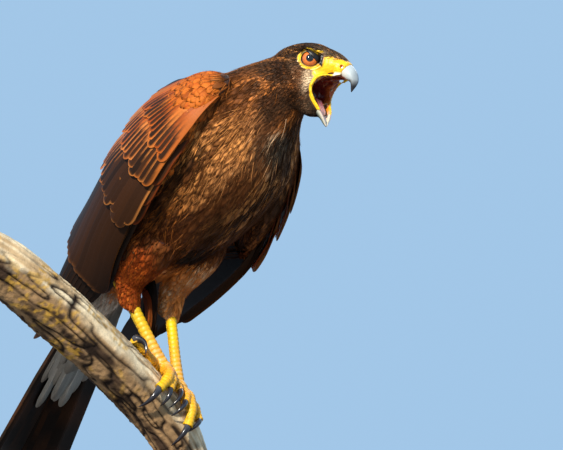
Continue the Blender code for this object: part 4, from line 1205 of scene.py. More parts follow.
def skin_colours(skin):
    """Colours the skin, and gives how bare it is and where it is the mouth's inside."""
    points, normals = points_of(skin), normals_of(skin)
    forward, _, up = in_head(points)
    bare = bareness(points, normals)
    inside = in_mouth(points, normals)
    base, tip, _, _, _ = markings(points)
    # Under the coat the skin has the coat's colours, darkened as painted shade between the feathers
    coat = mix(base, tip, 0.12) * 0.6
    face = mix(YELLOW, OCHRE, 0.5 * ramp(-0.2, 0.7, noise(points, 4.0, 21)))
    face = mix(face, tone(222, 128, 24), 0.6 * ramp(0.1, 0.7, noise(points, 2.6, 24)) * ramp(24, 14, forward))
    pale = 0.5 * ramp(0.1, 0.7, noise(points, 2.2, 22)) * ramp(10, 20, forward) * ramp(-2, 3, up)
    face = mix(face, PALE, pale)
    rim = np.zeros(len(points))
    pit = np.full(len(points), 99.0)
    for mark in (-1, 1):
        rim = np.maximum(rim, ramp(2.2, 1.2, distance_to_line(points, rim_line(mark))))
        pit = np.minimum(pit, np.linalg.norm(points - nostril_place(mark), axis=1))
        centre, out, back = eye_frame(mark)
        away = points - centre
        ring = np.hypot((away @ back) / LID_WIDE, (away @ HEAD_UP) / LID_HIGH)
        shade, line = under_brow(-(away @ back), away @ HEAD_UP)
        near = (away @ out > 0) * ramp(2.2, 1.9, ring)
        face = mix(face, YELLOW, line * near)
        face = mix(face, tone(14, 9, 7), shade * near)
    face = mix(face, YELLOW, rim)
    face = mix(face, tone(196, 84, 26), ramp(2.2, 1.4, pit))
    # Painted shade: the nostril's pit is near black in its middle
    face = mix(face, tone(24, 8, 6), ramp(1.2, 0.7, pit))
    corner = ramp(20.5, 22.0, forward) * ramp(-9.0, -11.0, up) * ramp(-15.5, -14.5, up) * (1 - inside)
    face = mix(face, mix(HORN, CREAM, 0.4), corner)
    colours = mix(coat, face, bare)
    colours = mix(colours, mouth_colours(points), inside * (1 - rim))
    set_colours(skin, colours)
    return bare, inside


# Markings and the coat's sizes, at places on the hawk. Each row: the place, a feather's length and width,
# its own colour, its tip's colour and how strong the tip shows


def places_of_coat():
    """All places of the coat's description."""
    rows = [
        (head(14, 0, 8), 5.0, 1.9, SOOT, BUFF, 0.5),
        (head(4, 0, 15), 7.0, 2.2, SOOT, BUFF, 0.5),
        (head(-10, 0, 17), 9, 2.5, SOOT, BUFF, 0.5),
        (head(-28, 0, 14), 12, 3.2, SOOT, GOLD, 0.7),
        (head(-44, 0, 0), 16, 4.6, SOOT, GOLD, 0.8),
        (head(2, 0, -48), 9, 2.6, SOOT, UMBER, 0.5),
        (head(-14, 0, -46), 13, 3.8, SOOT, GOLD, 0.7),
    ]
    for mark in (-1, 1):
        rows += [
            (head(0, mark * 19, 10), 5, 1.8, SOOT, UMBER, 0.4),
            (head(-14, mark * 21, 4), 8, 2.3, SOOT, BUFF, 0.45),
            (head(6, mark * 18, -13), 4.5, 1.7, PALE, WHITE, 0.7),
            (head(-1, mark * 19, -14), 5.5, 1.9, BROWN, PALE, 0.6),
            (head(-6, mark * 19, -20), 7, 2.2, UMBER, GOLD, 0.8),
            (head(-4, mark * 17, -30), 8, 2.4, SOOT, GOLD, 0.8),
            (head(-16, mark * 20, -10), 9, 2.6, SOOT, GOLD, 0.9),
            (head(-22, mark * 17, -26), 11, 3.2, SOOT, GOLD, 0.8),
            (bird(100, mark * 36, 78), 19, 5.6, SOOT, GOLD, 0.75),
            (bird(96, mark * 30, 44), 21, 6.5, UMBER, TAN, 0.85),
            (bird(60, mark * 60, 30), 28, 9, SOOT, BUFF, 0.38),
            # The flanks and the lower belly have their own colours darkened below soot, and few pale tips, as
            # painted shade of the underside
            (bird(30, mark * 62, 0), 30, 10, 0.7 * SOOT, GOLD, 0.24),
            (bird(-10, mark * 56, -30), 32, 10, 0.6 * SOOT, GOLD, 0.12),
            (bird(-50, mark * 42, -60), 30, 9, 0.6 * SOOT, BROWN, 0.15),
        ]
    rows += [
        (bird(112, 4, 40), 20, 6.0, SOOT, PALE, 0.8),
        (bird(104, 0, 10), 26, 8.5, SOOT, TAN, 0.65),
        (bird(70, 0, -20), 30, 10, SOOT, TAN, 0.32),
        # Painted shade: the lower belly's own colours are darkened below soot
        (bird(30, 0, -48), 32, 10, 0.6 * SOOT, GOLD, 0.08),
        (bird(-20, 0, -64), 30, 10, 0.6 * SOOT, UMBER, 0.3),
        (bird(-50, 0, -76), 30, 10, SOOT, SOOT, 0.3),
        (bird(-78, 0, -84), 24, 8, WHITE, WHITE, 0.3),
        (bird(-100, 0, -84), 24, 8, WHITE, WHITE, 0.3),
        (bird(60, 0, 92), 22, 9, UMBER, BROWN, 0.5),
        (bird(20, 0, 72), 26, 11, BLACKISH, BROWN, 0.4),
        (bird(-30, 0, 34), 28, 12, BLACKISH, BROWN, 0.4),
        (bird(-80, 0, -14), 28, 11, UMBER, BROWN, 0.4),
        (bird(-104, 0, -50), 24, 9, WHITE, WHITE, 0.3),
    ]
    for side, (mark, _) in WINGS.items():
        hip, ankle, _, _ = leg_lines(side)
        down = ankle - hip
        deep, red, bright, light = CHESTNUT, RUFOUS, RUFOUS, ORANGE
        # The left thigh's paler orange, tan and pale are painted light, so that it shows as lit though the
        # body shades it
        if mark > 0:
            deep, red, bright, light = ORANGE, ORANGE, TAN, PALE
        rows += [
            (hip + down * (0.05 if mark > 0 else 0.25) + FORWARD * 27, 20, 7.5, SOOT, BROWN, 0.7),
            (hip + down * 0.35 + (FORWARD - LEFT) * 18, 18, 6.0, deep, bright, 0.9),
            (hip + down * 0.6 + (FORWARD - LEFT) * 14, 16, 5.5, red, light, 0.6),
            (hip + down * 0.45 + FORWARD * 22, 18, 6.0, CHESTNUT, red, 0.9),
            (hip + down * 0.4 - LEFT * 24, 18, 6.0, deep, bright, 0.9),
            (hip + down * 0.62 - LEFT * 16, 16, 5.5, red, light, 0.7),
            (hip + down * 0.85 + FORWARD * 8, 12, 4.2, red, light, 0.7),
            (hip + down * 1.04, 9, 3.0, ORANGE, PALE, 0.6),
            (hip + down * 0.7 - FORWARD * 18, 17, 6.0, SOOT, RUFOUS, 0.7),
        ]
    return rows


def markings(points):
    """The coat at places on the skin: its own colour, its tip's, how strong the tip shows, and a feather's
    length and width, all worked out from the nearest places that the hawk's plumage is described at."""
    wandering = points + np.stack([noise(points, 9.0, 31 + k) for k in range(3)], axis=1) * 3.0
    total = np.zeros(len(points))
    sums = [np.zeros((len(points), numbers)) for numbers in (3, 3, 1, 1, 1)]
    for place, length, width, own, tip, share in COAT_PLACES:
        weight = 1 / (np.linalg.norm(wandering - place, axis=1) + 1.0) ** 4
        total += weight
        for values, value in zip(sums, (own, tip, share, length, width)):
            values += weight[:, None] * value
    own, tip, share, length, width = (values / total[:, None] for values in sums)
    return own, tip, share[:, 0], length[:, 0], width[:, 0]


def axis_table():
    """Places along the trunk's middle line and the way back along it."""
    rows = curve_through([row[:3] for row in TRUNK], 80)
    line = bird(*rows.T)
    return line, -unit(np.gradient(line, axis=0))


def coat_lie(points):
    """Which way the coat lies at points of the skin."""
    line, back = AXIS
    nearest = nearest_on(line, points)
    lie = back[nearest] - 0.12 * UP
    forward, left, up = in_head(points)
    on_head = ramp(-48, -26, forward) * (np.linalg.norm(points - head(-6, 0, -14), axis=1) < 62)
    droop = 0.15 + 0.75 * ramp(2, -30, up)
    aside = 0.25 * np.sign(left)[:, None] * HEAD_LEFT * ramp(6, 12, up)[:, None]
    face = -HEAD_FORWARD - droop[:, None] * HEAD_UP + aside
    lie = mix(lie, face, on_head)
    for side in WINGS:
        span, t, away = near_thigh(side, points)
        radius = np.interp(t, [0, 0.3, 0.6, 0.85, 1.06], [30, 29, 22, 15, 9])
        on_thigh = ramp(9, 3, away - radius) * ramp(0.1, 0.4, t)
        lie = mix(lie, unit(span) - 0.25 * FORWARD, on_thigh)
    return lie


def wing_places(points):
    """The nearest place on either wing to each point: its side, distance from the wrist, place across and
    distance."""
    best = np.full(len(points), 1e9)
    found = np.zeros((len(points), 3))
    for number, side in enumerate(WINGS):
        along, across = np.meshgrid(np.linspace(2, 150, 38), np.linspace(-0.1, 1.14, 26), indexing="ij")
        spots = wing_point(side, along.ravel(), across.ravel(), 6.0)
        tree = tree_of(spots)
        hits = [tree.find(p) for p in points]
        away = np.array([h[2] for h in hits])
        index = np.array([h[1] for h in hits])
        nearer = away < best
        best[nearer] = away[nearer]
        rows = np.stack([np.full(len(points), number), along.ravel()[index], across.ravel()[index]], axis=1)
        found[nearer] = rows[nearer]
    return found[:, 0].astype(int), found[:, 1], found[:, 2], best


def scattered(skin, bare, spacing_of, allowed, rng):
    """Places spread over the skin where it isn't bare, each as far from the others as spacing_of says."""
    mesh = skin.data
    mesh.calc_loop_triangles()
    corners = np.empty(len(mesh.loop_triangles) * 3, np.int32)
    mesh.loop_triangles.foreach_get("vertices", corners)
    corners = corners.reshape(-1, 3)
    points = points_of(skin)
    a, b, c = (points[corners[:, k]] for k in range(3))
    middles = (a + b + c) / 3
    keep = allowed(middles) & (bare[corners].mean(1) < 0.4)
    a, b, c, middles = a[keep], b[keep], c[keep], middles[keep]
    areas = np.linalg.norm(np.cross(b - a, c - a), axis=1) / 2
    spacing = spacing_of(middles)
    weights = areas / spacing**2
    count = int(weights.sum() * 5)
    chosen = rng.choice(len(areas), count, p=weights / weights.sum())
    s, t = rng.random(count), rng.random(count)
    over = s + t > 1
    s[over], t[over] = 1 - s[over], 1 - t[over]
    spots = a[chosen] + s[:, None] * (b - a)[chosen] + t[:, None] * (c - a)[chosen]
    reach = spacing[chosen] * 0.8
    tree = tree_of(spots)
    free = np.ones(count, bool)
    picked = []
    for i in range(count):
        if free[i]:
            picked.append(i)
            for _, j, _ in tree.find_range(spots[i], reach[i]):
                free[j] = False
    return spots[picked]


def follow_skin(tree, roots, lengths, heights, turn, lie):
    """Follows the skin from each root along the coat's lie. Gives each feather's middle line and the way
    out of the skin, row by row. heights are the rows' heights over the skin."""
    count, rows = heights.shape
    lines = np.empty((count, rows, 3))
    outs = np.empty((count, rows, 3))
    spots = roots.copy()
    for r in range(rows):
        hits = [tree.find_nearest(p) for p in spots]
        base = np.array([tuple(h[0]) for h in hits])
        normal = np.array([tuple(h[1]) for h in hits])
        if r:
            normal = unit(normal + outs[:, r - 1])
        direction = lie(base)
        direction = unit(direction - np.sum(direction * normal, axis=1, keepdims=True) * normal)
        aside = np.cross(normal, direction)
        direction = direction * np.cos(turn)[:, None] + aside * np.sin(turn)[:, None]
        lines[:, r] = base + normal * heights[:, r, None]
        outs[:, r] = normal
        spots = base + direction * (lengths / (rows - 1))[:, None]
    return lines, outs


def vane_points(lines, outs, half, columns, camber, ragged):
    """The points of vanes: feather, row, column. half is each row's half width, and ragged moves the
    columns of the last rows along the feather."""
    along = unit(np.gradient(lines, axis=1))
    across = unit(np.cross(along, outs))
    x = np.asarray(columns)
    wide = half[:, :, None] * x
    points = lines[:, :, None] + across[:, :, None] * wide[..., None]
    points = points - outs[:, :, None] * (camber * half[:, :, None] * x**2)[..., None]
    weight = np.zeros(lines.shape[1])
    weight[-1] = 1.0
    weight[-2] = 0.35
    points += along[:, :, None] * (ragged[:, None, :] * weight[None, :, None])[..., None]
    return points


def stacked(feathers):
    """Feathers that were made one by one as four arrays: points, colours, places on the OFBake map, lengths."""
    return [np.array(values) for values in zip(*feathers)]


def feather_piece(name, feathers, made, slot, *nodes):
    """A piece of closed thin vanes from the four arrays that stacked gives. points is feather, row,
    column."""
    points, colours, spots, lengths = feathers
    count, rows, columns, _ = points.shape
    index = np.arange(count * rows * columns).reshape(count, rows, columns)
    top = (index[:, 0, 0, None, None] + grid_faces(rows, columns)).reshape(-1, 4)
    edges = [index[:, 1:, 0], index[:, 1:, -1], index[:, :-1, -1], index[:, :-1, 0]]
    under = np.stack(edges, axis=-1).reshape(-1, 4)
    ends = np.concatenate([index[:, 0, ::-1], index[:, -1, :]])
    faces = [np.concatenate([top, under]), ends]
    if enclosed(points.reshape(-1, 3), faces) < 0:
        faces = [group[:, ::-1] for group in faces]
    made_object = new_mesh(name, points.reshape(-1, 3), faces)
    x = np.linspace(-1, 1, columns)
    t = np.linspace(0, 1, rows)
    place = np.broadcast_arrays(x[None, None, :], t[None, :, None] + np.zeros((count, 1, 1)))
    grid = np.stack(place, axis=-1)
    patch = spots[:, None, None] + (grid - [0, 0.5]) * [BAKE_PATCH / 2, BAKE_PATCH]
    set_map(made_object, "OFBake", patch.reshape(-1, 2))
    barb = grid + np.arange(count)[:, None, None, None] * [3.7, 1.3]
    barb[..., 1] = barb[..., 1] + grid[..., 1] * (lengths[:, None, None] / 20.0 - 1.0)
    set_map(made_object, "Barb", barb.reshape(-1, 2))
    set_colours(made_object, colours.reshape(-1, 3))
    return finish_piece(made_object, slot, made, *nodes)


def enclosed(points, faces):
    """The volume that faces enclose, below 0 where they point inwards."""
    total = 0.0
    for group in faces:
        a = points[group[:, 0]]
        for k in range(1, group.shape[1] - 1):
            total += np.sum(a * np.cross(points[group[:, k]], points[group[:, k + 1]]))
    return total


def around(points):
    """A place on an unwrap of the trunk and head for each root: round the middle line, and along it."""
    line, back = AXIS
    nearest = nearest_on(line, points)
    away = points - line[nearest]
    upward = unit(np.cross(LEFT, back[nearest]))
    angle = np.arctan2(away @ LEFT, np.sum(away * upward, axis=1)) / (2 * math.pi) + 0.5
    along = nearest / (len(line) - 1) * 0.72
    forward, left, up = in_head(points)
    on_head = forward > -30
    turn = np.arctan2(left, up + 12) / (2 * math.pi) + 0.5
    angle = np.where(on_head, turn, angle)
    along = np.where(on_head, 0.75 + 0.22 * np.clip((forward + 30) / 62, 0, 1), along)
    return np.stack([0.01 + 0.98 * angle, 0.01 + 0.98 * along], axis=1)


def coat_grows(points):
    """Where the body's own feathers grow: not under the folded wings' quills, and not on the tail."""
    _, along, _, away = wing_places(points)
    return ~((away < 7) & (along > 66)) & in_front_of_tail(points)


def coat_spacing(points):
    """How far apart feathers grow."""
    return markings(points)[4] * 0.6


def whole_lie(points):
    """Which way the coat lies, along the wings on the shoulders."""
    number, along, across, away = wing_places(points)
    ahead = np.empty((len(points), 3))
    for k, side in enumerate(WINGS):
        here = wing_point(side, along, across, 6.0)
        there = wing_point(side, along + 5, across, 6.0)
        ahead[number == k] = (there - here)[number == k]
    return mix(unit(coat_lie(points)), unit(ahead), ramp(9, 5, away))


def coat_values(roots, spots, rng):
    """For each feather of the coat: its own colour, its tip's, how strong the tip shows, length, width, and
    how far it is one of the shoulder's."""
    side, along, across, away = wing_places(roots)
    own, tip, share, length, width = markings(roots)
    on_wing = ramp(9, 5, away)
    own, tip, share = wing_markings(own, tip, share, side, along, across, on_wing, rng)
    length = length * (1 - on_wing) + on_wing * (13 + along * 0.18)
    width = width * (1 - on_wing) + on_wing * (8 + along * 0.06)
    length *= rng.uniform(0.85, 1.15, len(roots))
    width *= rng.uniform(0.9, 1.15, len(roots))
    # Streaks: a few feathers in a row are pale and the ones beside them dark
    slanted = np.stack([spots[:, 0] * 44 + spots[:, 1] * 16, spots[:, 1] * 11, 0 * along], axis=1)
    clumps = 0.12 + 1.9 * ramp(-0.15, 0.45, noise(slanted, 1.0, 71))
    warm = ramp(-0.3, 0.4, noise(slanted * [0.7, 0.8, 1], 1.0, 73)) * (1 - on_wing) * ramp(10, 14, length)
    own = mix(own, mix(own, BROWN, 0.6), warm * ramp(0.15, 0.5, share))
    own, tip, share = thigh_markings(own, tip, share, roots, rng)
    small = ramp(12, 8, length) * (1 - on_wing)
    streaked = np.where(rng.random(len(roots)) < 0.33, 1.5, 0.3)
    share = share * (clumps * (1 - on_wing) + on_wing) * (1 - small + small * streaked)
    return own, tip, share, length, width, on_wing


def coat_vanes(tree, roots, own, tip, share, length, width, rng):
    """The points and colours of the coat's feathers: feather, row, column."""
    count = len(roots)
    rows = 6
    spread = 7
    shares = np.linspace(0, 1, rows)
    rise = 0.35 + 0.07 * length
    heights = -0.7 + (rise + 0.7)[:, None] * np.minimum(shares / 0.75, 1.0)[None]
    heights += rng.normal(0, 0.1, (count, 1)) * shares
    lines, outs = follow_skin(tree, roots, length, heights, rng.normal(0, 0.12, count), whole_lie)
    half = width[:, None] / 2 * np.array([0.55, 0.88, 1.02, 1.0, 0.9, 0.56])
    columns = np.linspace(-1, 1, spread)
    ragged = length[:, None] * (rng.uniform(-0.045, 0.025, (count, spread)) - 0.15 * columns**2)
    points = vane_points(lines, outs, half, columns, 0.22, ragged)
    t = shares[None, :, None]
    x = np.abs(columns)[None, None, :]
    strands = rng.uniform(0.0, 1.7, (count, 1, spread)) ** 1.5
    tipward = 0.35 + 0.4 * ramp(0.3, 0.9, t) + 0.2 * ramp(0.4, 1.0, x) * ramp(0.2, 0.8, t)
    amount = share[:, None, None] * strands * tipward
    colours = mix(own[:, None, None], tip[:, None, None], np.clip(amount, 0, 1))
    # Painted shade: each feather is darker towards its root, where the feathers over it shade it
    root_shade = (0.7 + 0.4 * ramp(0.1, 0.7, t))[..., None]
    return points, colours * root_shade * rng.uniform(0.86, 1.14, (count, 1, 1, 1))


def make_coat(skin, bare, rng):
    """The body's own feathers: small on the face, longer down the neck to the belly and the thighs."""
    inside = in_mouth(points_of(skin), normals_of(skin))
    outer = [tuple(p.vertices) for p in skin.data.polygons if inside[p.vertices[0]] < 0.5]
    tree = BVHTree.FromPolygons([tuple(p) for p in points_of(skin)], outer)
    roots = scattered(skin, bare, coat_spacing, coat_grows, rng)
    spots = around(roots)
    own, tip, share, length, width, on_wing = coat_values(roots, spots, rng)
    points, colours = coat_vanes(tree, roots, own, tip, share, length, width, rng)
    made = plumage("body_plumage", 9.0, 1.2, 0.45)
    on_leg = on_thighs(roots)
    body = np.flatnonzero(~on_leg)
    pieces = [("coat_of_thighs", np.flatnonzero(on_leg), "rufous_plumage", ("thigh_right", "thigh_left"))]
    for number, chosen in enumerate(np.array_split(body[np.argsort(spots[body, 1])], 5)):
        pieces.append((f"coat_{number + 1}", chosen, "brown_plumage", ()))
    for name, chosen, slot, nodes in pieces:
        feathers = [values[chosen] for values in (points, colours, spots, length)]
        feather_piece(name, feathers, made, slot, *nodes)
    loose_barbs(tree, roots, length, own, tip, share, on_wing, spots, made, rng)


def loose_barbs(tree, roots, length, own, tip, share, on_wing, spots, made, rng):
    """Thin wavy strands that lie a little over the coat."""
    many = np.where(on_wing > 0.5, 1, np.where(length > 14, 6, 4))
    chosen = np.repeat(np.arange(len(roots)), many)
    count = len(chosen)
    size = length[chosen]
    start = roots[chosen] + rng.normal(0, 0.13, (count, 3)) * size[:, None]
    reach = size * rng.uniform(0.85, 1.7, count)
    rows = 4
    shares = np.linspace(0, 1, rows)
    rise = 0.35 + 0.075 * size + rng.exponential(0.012, count) * size
    heights = rise[:, None] * (0.4 + 0.6 * shares)
    lines, outs = follow_skin(tree, start, reach, heights, rng.normal(0, 0.2, count), whole_lie)
    clear = np.ones(count, bool)
    for mark in (-1, 1):
        for r in (0, rows - 1):
            clear &= distance_to_line(lines[:, r], rim_line(mark)) > 3.2
    lines, outs, size, start, reach, chosen = (a[clear] for a in (lines, outs, size, start, reach, chosen))
    count = len(chosen)
    aside = unit(np.cross(unit(np.gradient(lines, axis=1)), outs))
    phase = noise(start, 18.0, 72) * 6 + rng.normal(0, 0.5, count)
    lines += aside * (0.028 * size[:, None] * np.sin(5.0 * shares[None] + phase[:, None]))[..., None]
    half = (0.09 + 0.0088 * size)[:, None] * np.array([0.9, 1.0, 0.75, 0.1])
    points = vane_points(lines, outs, half, np.array([-1.0, 0.0, 1.0]), 0.5, np.zeros((count, 3)))
    bright = np.where(rng.random(count) < 0.38, rng.uniform(0.9, 2.2, count), rng.uniform(0, 0.3, count))
    amount = np.clip(share[chosen] * bright, 0, 1)
    colours = mix(own[chosen], tip[chosen], amount)[:, None, None]
    # Painted shade: each strand is darker towards its root
    colours = np.broadcast_to(colours * np.linspace(0.75, 1.1, rows)[None, :, None, None], points.shape)
    order = np.argsort(spots[chosen, 1])
    for number, some in enumerate(np.array_split(order, 6)):
        strands = [values[some] for values in (points, colours, spots[chosen], reach)]
        feather_piece(f"loose_barbs_{number + 1}", strands, made, "brown_plumage")


def thigh_markings(own, tip, share, roots, rng):
    """The thighs' feathers: chestnut with rufous on the right one. On the left one they are paler and
    brighter, as painted light where the body shades it.
    """
    for side, (mark, _) in WINGS.items():
        _, t, away = near_thigh(side, roots)
        light = rng.uniform(0, 1, len(roots))
        if mark > 0:
            here = ramp(-0.05, 0.15, t) * ramp(42, 36, away)
            # Painted light: the left thigh's colours are paler, and 1.4 times as bright
            first = 1.4 * mix(ORANGE, TAN, 0.2 + 0.5 * light)
            second = mix(TAN, PALE, light)
            amount = 0.65
        else:
            here = ramp(0.12, 0.38, t) * ramp(37, 30, away)
            first = mix(CHESTNUT, RUFOUS, light)
            second = mix(RUFOUS, ORANGE, light)
            amount = 0.6
        own = mix(own, first, here)
        tip = mix(tip, second, here)
        share = share * (1 - here) + here * amount * rng.uniform(0.2, 1.6, len(roots))
    return own, tip, share


def on_thighs(points):
    """Which points are on a thigh, clear of the belly."""
    found = np.zeros(len(points), bool)
    for side in WINGS:
        _, t, away = near_thigh(side, points)
        found |= (t > 0.5) & (away < 32)
    return found


def in_front_of_tail(points):
    """False on the tail's core, which the tail's own feathers cover."""
    down = bird(-math.cos(TAIL_PITCH), 0, -math.sin(TAIL_PITCH)) - TORSO_CENTRE
    return (points - bird(*TAIL_ROOT)) @ down < 30


def far_band(along, across):
    """Where the left wing is rufous, seen past the breast."""
    return ramp(60, 80, along) * ramp(162, 145, along) * ramp(0.0, 0.1, across) * ramp(0.42, 0.3, across)


def wing_markings(own, tip, share, number, along, across, on_wing, rng):
    """The shoulder's feathers: rufous, plain towards the back and with dark middles lower down. On the left
    wing they are dark."""
    rufous = mix(RUFOUS, ORANGE, rng.uniform(0, 0.8, len(along)))
    dark = ramp(0.7, 0.4, across) * ramp(10, 50, along) * (rng.random(len(along)) < 0.4)
    dark = np.maximum(dark, ramp(0.88, 0.95, across))
    dark = np.where(number == 1, 1 - far_band(along, across), dark)
    own = mix(own, mix(rufous, UMBER, dark), on_wing)
    tip = mix(tip, mix(ORANGE, BROWN, np.where(number == 1, dark, 0)), on_wing)
    share = share * (1 - on_wing) + on_wing * 0.6
    return own, tip, share


# Wings


def quill_share(part, from_tip, round_tip):
    """The share of a feather's half width at a part of its length, and at a distance from its tip."""
    swell = 0.45 + 0.55 * np.minimum(part / 0.45, 1.0)
    near = np.clip(from_tip / round_tip, 0, 1)
    return swell * np.maximum(np.sqrt(near * (2 - near)), 0.06)


QUILL_COLUMNS = np.array([-1, -0.88, -0.62, -0.32, -0.04, 0.04, 0.32, 0.62, 0.88, 1])
QUILL_ROWS = 20


def quill_places(first, last, round_tip):
    """Places along a feather, closer together in its round tip."""
    straight = np.linspace(first, last - round_tip, QUILL_ROWS - 7)
    bend = last - round_tip + round_tip * np.sin(np.linspace(0, math.pi / 2, 8)[1:])
    return np.concatenate([straight, bend])


def wing_tiers():
    """The tiers of a folded wing, from the lowest up: name, how many, where the first and last root lie
    along and across, the tips along, the first and last tip across, width, heights over the wing, round
    tip, rise from one feather to the next."""
    return [
        ("primary", 10, (70, 88), (0.05, 0.26),
         (246, 270, 288, 300, 310, 318, 316, 310, 298, 282), (0.05, 0.68), 18,
         ((70, -9.0), (150, -0.4), (200, 0.8), (330, 1.6)), 26, 0.7),
        ("secondary", 14, (94, 80), (0.1, 0.86), (242, 240, 238, 236, 232, 226, 196), (0.1, 0.88), 20,
         ((75, -5.0), (110, 1.5), (150, 5.0), (240, 6.0)), 14, 0.55),
        ("greater", 18, (60, 60), (0.07, 0.84), (158, 153, 150, 146, 138), (0.05, 0.86), 15,
         ((60, -1.5), (100, 5.6), (125, 8.2), (152, 9.4)), 12, 0.5),
        ("median", 18, (34, 34), (0.08, 0.86), (114, 108, 106, 102, 96), (0.06, 0.88), 13,
         ((34, 1.0), (62, 7.8), (80, 9.6), (107, 10.6)), 10, 0.45),
        ("lesser", 18, (14, 14), (0.08, 0.9), (80, 77, 75, 72, 68), (0.06, 0.92), 11,
         ((14, 1.0), (40, 8.2), (60, 10.0), (80, 10.8)), 8, 0.35),
    ]


def covert_colours(side, name, tip, x, t, rng):
    """A wing feather's colours. tip is its tip's place on the wing, x runs from edge to edge, and t from
    root to tip."""
    along, across = tip
    x, t = np.broadcast_arrays(np.abs(x)[None, :], t[:, None])
    if name == "primary":
        own = mix(SOOT, BLACKISH, rng.uniform(0, 1))
        return mix(own, mix(SLATE, BROWN, 0.4), ramp(0.8, 1.0, x) * 0.4 + 0.5 * ramp(0.96, 1.0, t))
    dark = mix(SOOT, UMBER, rng.uniform(0.1, 0.9))
    if name == "secondary":
        edge = mix(BROWN, BUFF, 0.2 if side == "right" else 0.0)
        return mix(dark, edge, 0.7 * ramp(0.88, 1.0, x) * ramp(0.3, 0.6, t) + 0.5 * ramp(0.97, 1.0, t))
    red = mix(ORANGE, RUFOUS, rng.uniform(0, 1))
    if side == "left":
        band = float(far_band(along - 12, across))
        # The rufous band is mixed towards tan as painted light, so that it shows bright on the far wing,
        # which lies in shade
        edge = mix(mix(SLATE, BUFF, 0.35), mix(red, TAN, 0.45), band)
        centre = ramp(0.95 - 0.5 * band, 0.6 - 0.5 * band, x) * ramp(0.97, 0.9, t)
        return mix(np.broadcast_to(edge, (*x.shape, 3)), dark, centre)
    # Plain rufous towards the back, dark drops in the middle, and dark with thin edges towards the tip
    plain = float(ramp(0.6, 0.76, across) * ramp(175, 120, along))
    red_share = float(ramp(168, 92, along - 40 * ramp(0.3, 0.7, across) + rng.uniform(-12, 12)))
    red = mix(red, TAN, float(ramp(60, 110, along)) * rng.uniform(0, 0.6))
    scapular = float(ramp(0.86, 0.93, across))
    edge = mix(mix(BROWN, BUFF, rng.uniform(0.2, 0.8)), red, red_share)
    drop = (0.05 + 0.5 * ramp(0.4, 0.85, t)) * red_share + 0.96 * (1 - red_share)
    edge = mix(edge, UMBER, scapular) * rng.uniform(0.75, 1.15)
    centre = ramp(drop + 0.06, drop - 0.08, x) * ramp(0.1 + 0.3 * red_share, 0.3 + 0.35 * red_share, t)
    centre = centre * ramp(1.0, 0.985 - 0.03 * red_share, t) * (1 - 0.85 * plain)
    return mix(np.broadcast_to(edge, (*x.shape, 3)), dark, centre)


def quill(root, tip, round_tip):
    """Places along a feather, each one's share of the way to the tip, its place across, and the share of
    the half width there. root and tip are places along and across."""
    along = quill_places(root[0], tip[0], round_tip)
    part = (along - root[0]) / (tip[0] - root[0])
    across = root[1] + (tip[1] - root[1]) * part
    return along, part, across, quill_share(part, tip[0] - along, round_tip)


def wing_feather(side, root, tip, along, across, half, level, colours):
    """A wing's feather as stacked takes it."""
    places = across[:, None] + QUILL_COLUMNS * (half / wing_span(side, along))[:, None]
    spot = (0.02 + 0.96 * np.clip(root[1], 0, 1), 0.02 + 0.9 * root[0] / 340)
    return wing_point(side, along[:, None], places, level), colours, spot, tip[0] - root[0]


def tier_feathers(side, tier, rng):
    """The feathers of a wing's tier, each with its edge over the one before."""
    name, count, root_along, root_across, tips, tip_across, width, heights, round_tip, rise = tier
    share = np.linspace(0, 1, count)
    stagger = 2 if name in ("primary", "secondary") else 8
    reach = np.interp(share, np.linspace(0, 1, len(tips)), tips) + rng.uniform(-stagger, stagger * 0.6, count)
    root_step, tip_step = ((ends[1] - ends[0]) / (count - 1) for ends in (root_across, tip_across))
    x = QUILL_COLUMNS
    shaft = np.where(np.abs(x) < 0.1, 0.25, 0.0)
    feathers = []
    for i in range(count):
        root = (between(root_along, share[i]), between(root_across, share[i]))
        tip = (reach[i], between(tip_across, share[i]))
        along, part, across, swell = quill(root, tip, round_tip)
        neighbours = np.abs(root_step * (1 - part) + tip_step * part) * wing_span(side, along)
        tilt = np.clip(rise / np.maximum(neighbours, 0.1), 0, 0.3)
        half = width / 2 * rng.uniform(0.94, 1.06) * swell
        height = np.interp(along, *zip(*heights))
        level = height[:, None] - x * (tilt * half)[:, None] - 0.1 * half[:, None] * x**2 + shaft
        colours = covert_colours(side, name, tip, x, part, rng)
        feathers.append(wing_feather(side, root, tip, along, across, half, level, colours))
    return feathers


def edge_feathers(side):
    """The thumb's feathers along the wing's lower edge, and the scapulars over its upper edge."""
    rows = []
    for i in reversed(range(3)):
        rows.append(((36 + 13 * i, 0.03), (104 + 22 * i, 0.0), 12, (-4.0, 7.0 - i), 16, UMBER, RUFOUS))
    for i in reversed(range(7)):
        heights = (-3.0, 10.2 - 0.5 * i)
        rows.append(((16 + 12 * i, 1.0), (70 + 20 * i, 0.97), 17, heights, 12, BLACKISH, BROWN))
    x = QUILL_COLUMNS
    feathers = []
    for root, tip, width, heights, round_tip, own, edge in rows:
        along, part, across, swell = quill(root, tip, round_tip)
        half = width / 2 * swell
        height = between(heights, np.minimum(part / 0.6, 1.0))
        level = height[:, None] - 0.12 * half[:, None] * x**2
        share = ramp(0.7, 1.0, np.abs(x))[None, :] * 0.7 + 0.3 * ramp(0.9, 1.0, part)[:, None]
        colours = mix(own, edge, np.clip(share, 0, 1))
        feathers.append(wing_feather(side, root, tip, along, across, half, level, colours))
    return feathers


def make_wings(rng):
    """The feathers of both folded wings."""
    made = plumage("wing_plumage", 3.0, 26.0, 0.22, 0.5)
    for side in WINGS:
        feathers = []
        for tier in wing_tiers():
            feathers += tier_feathers(side, tier, rng)
        feathers += edge_feathers(side)
        feather_piece("wing_feathers_" + side, stacked(feathers), made, "wing_plumage", "wing_" + side)


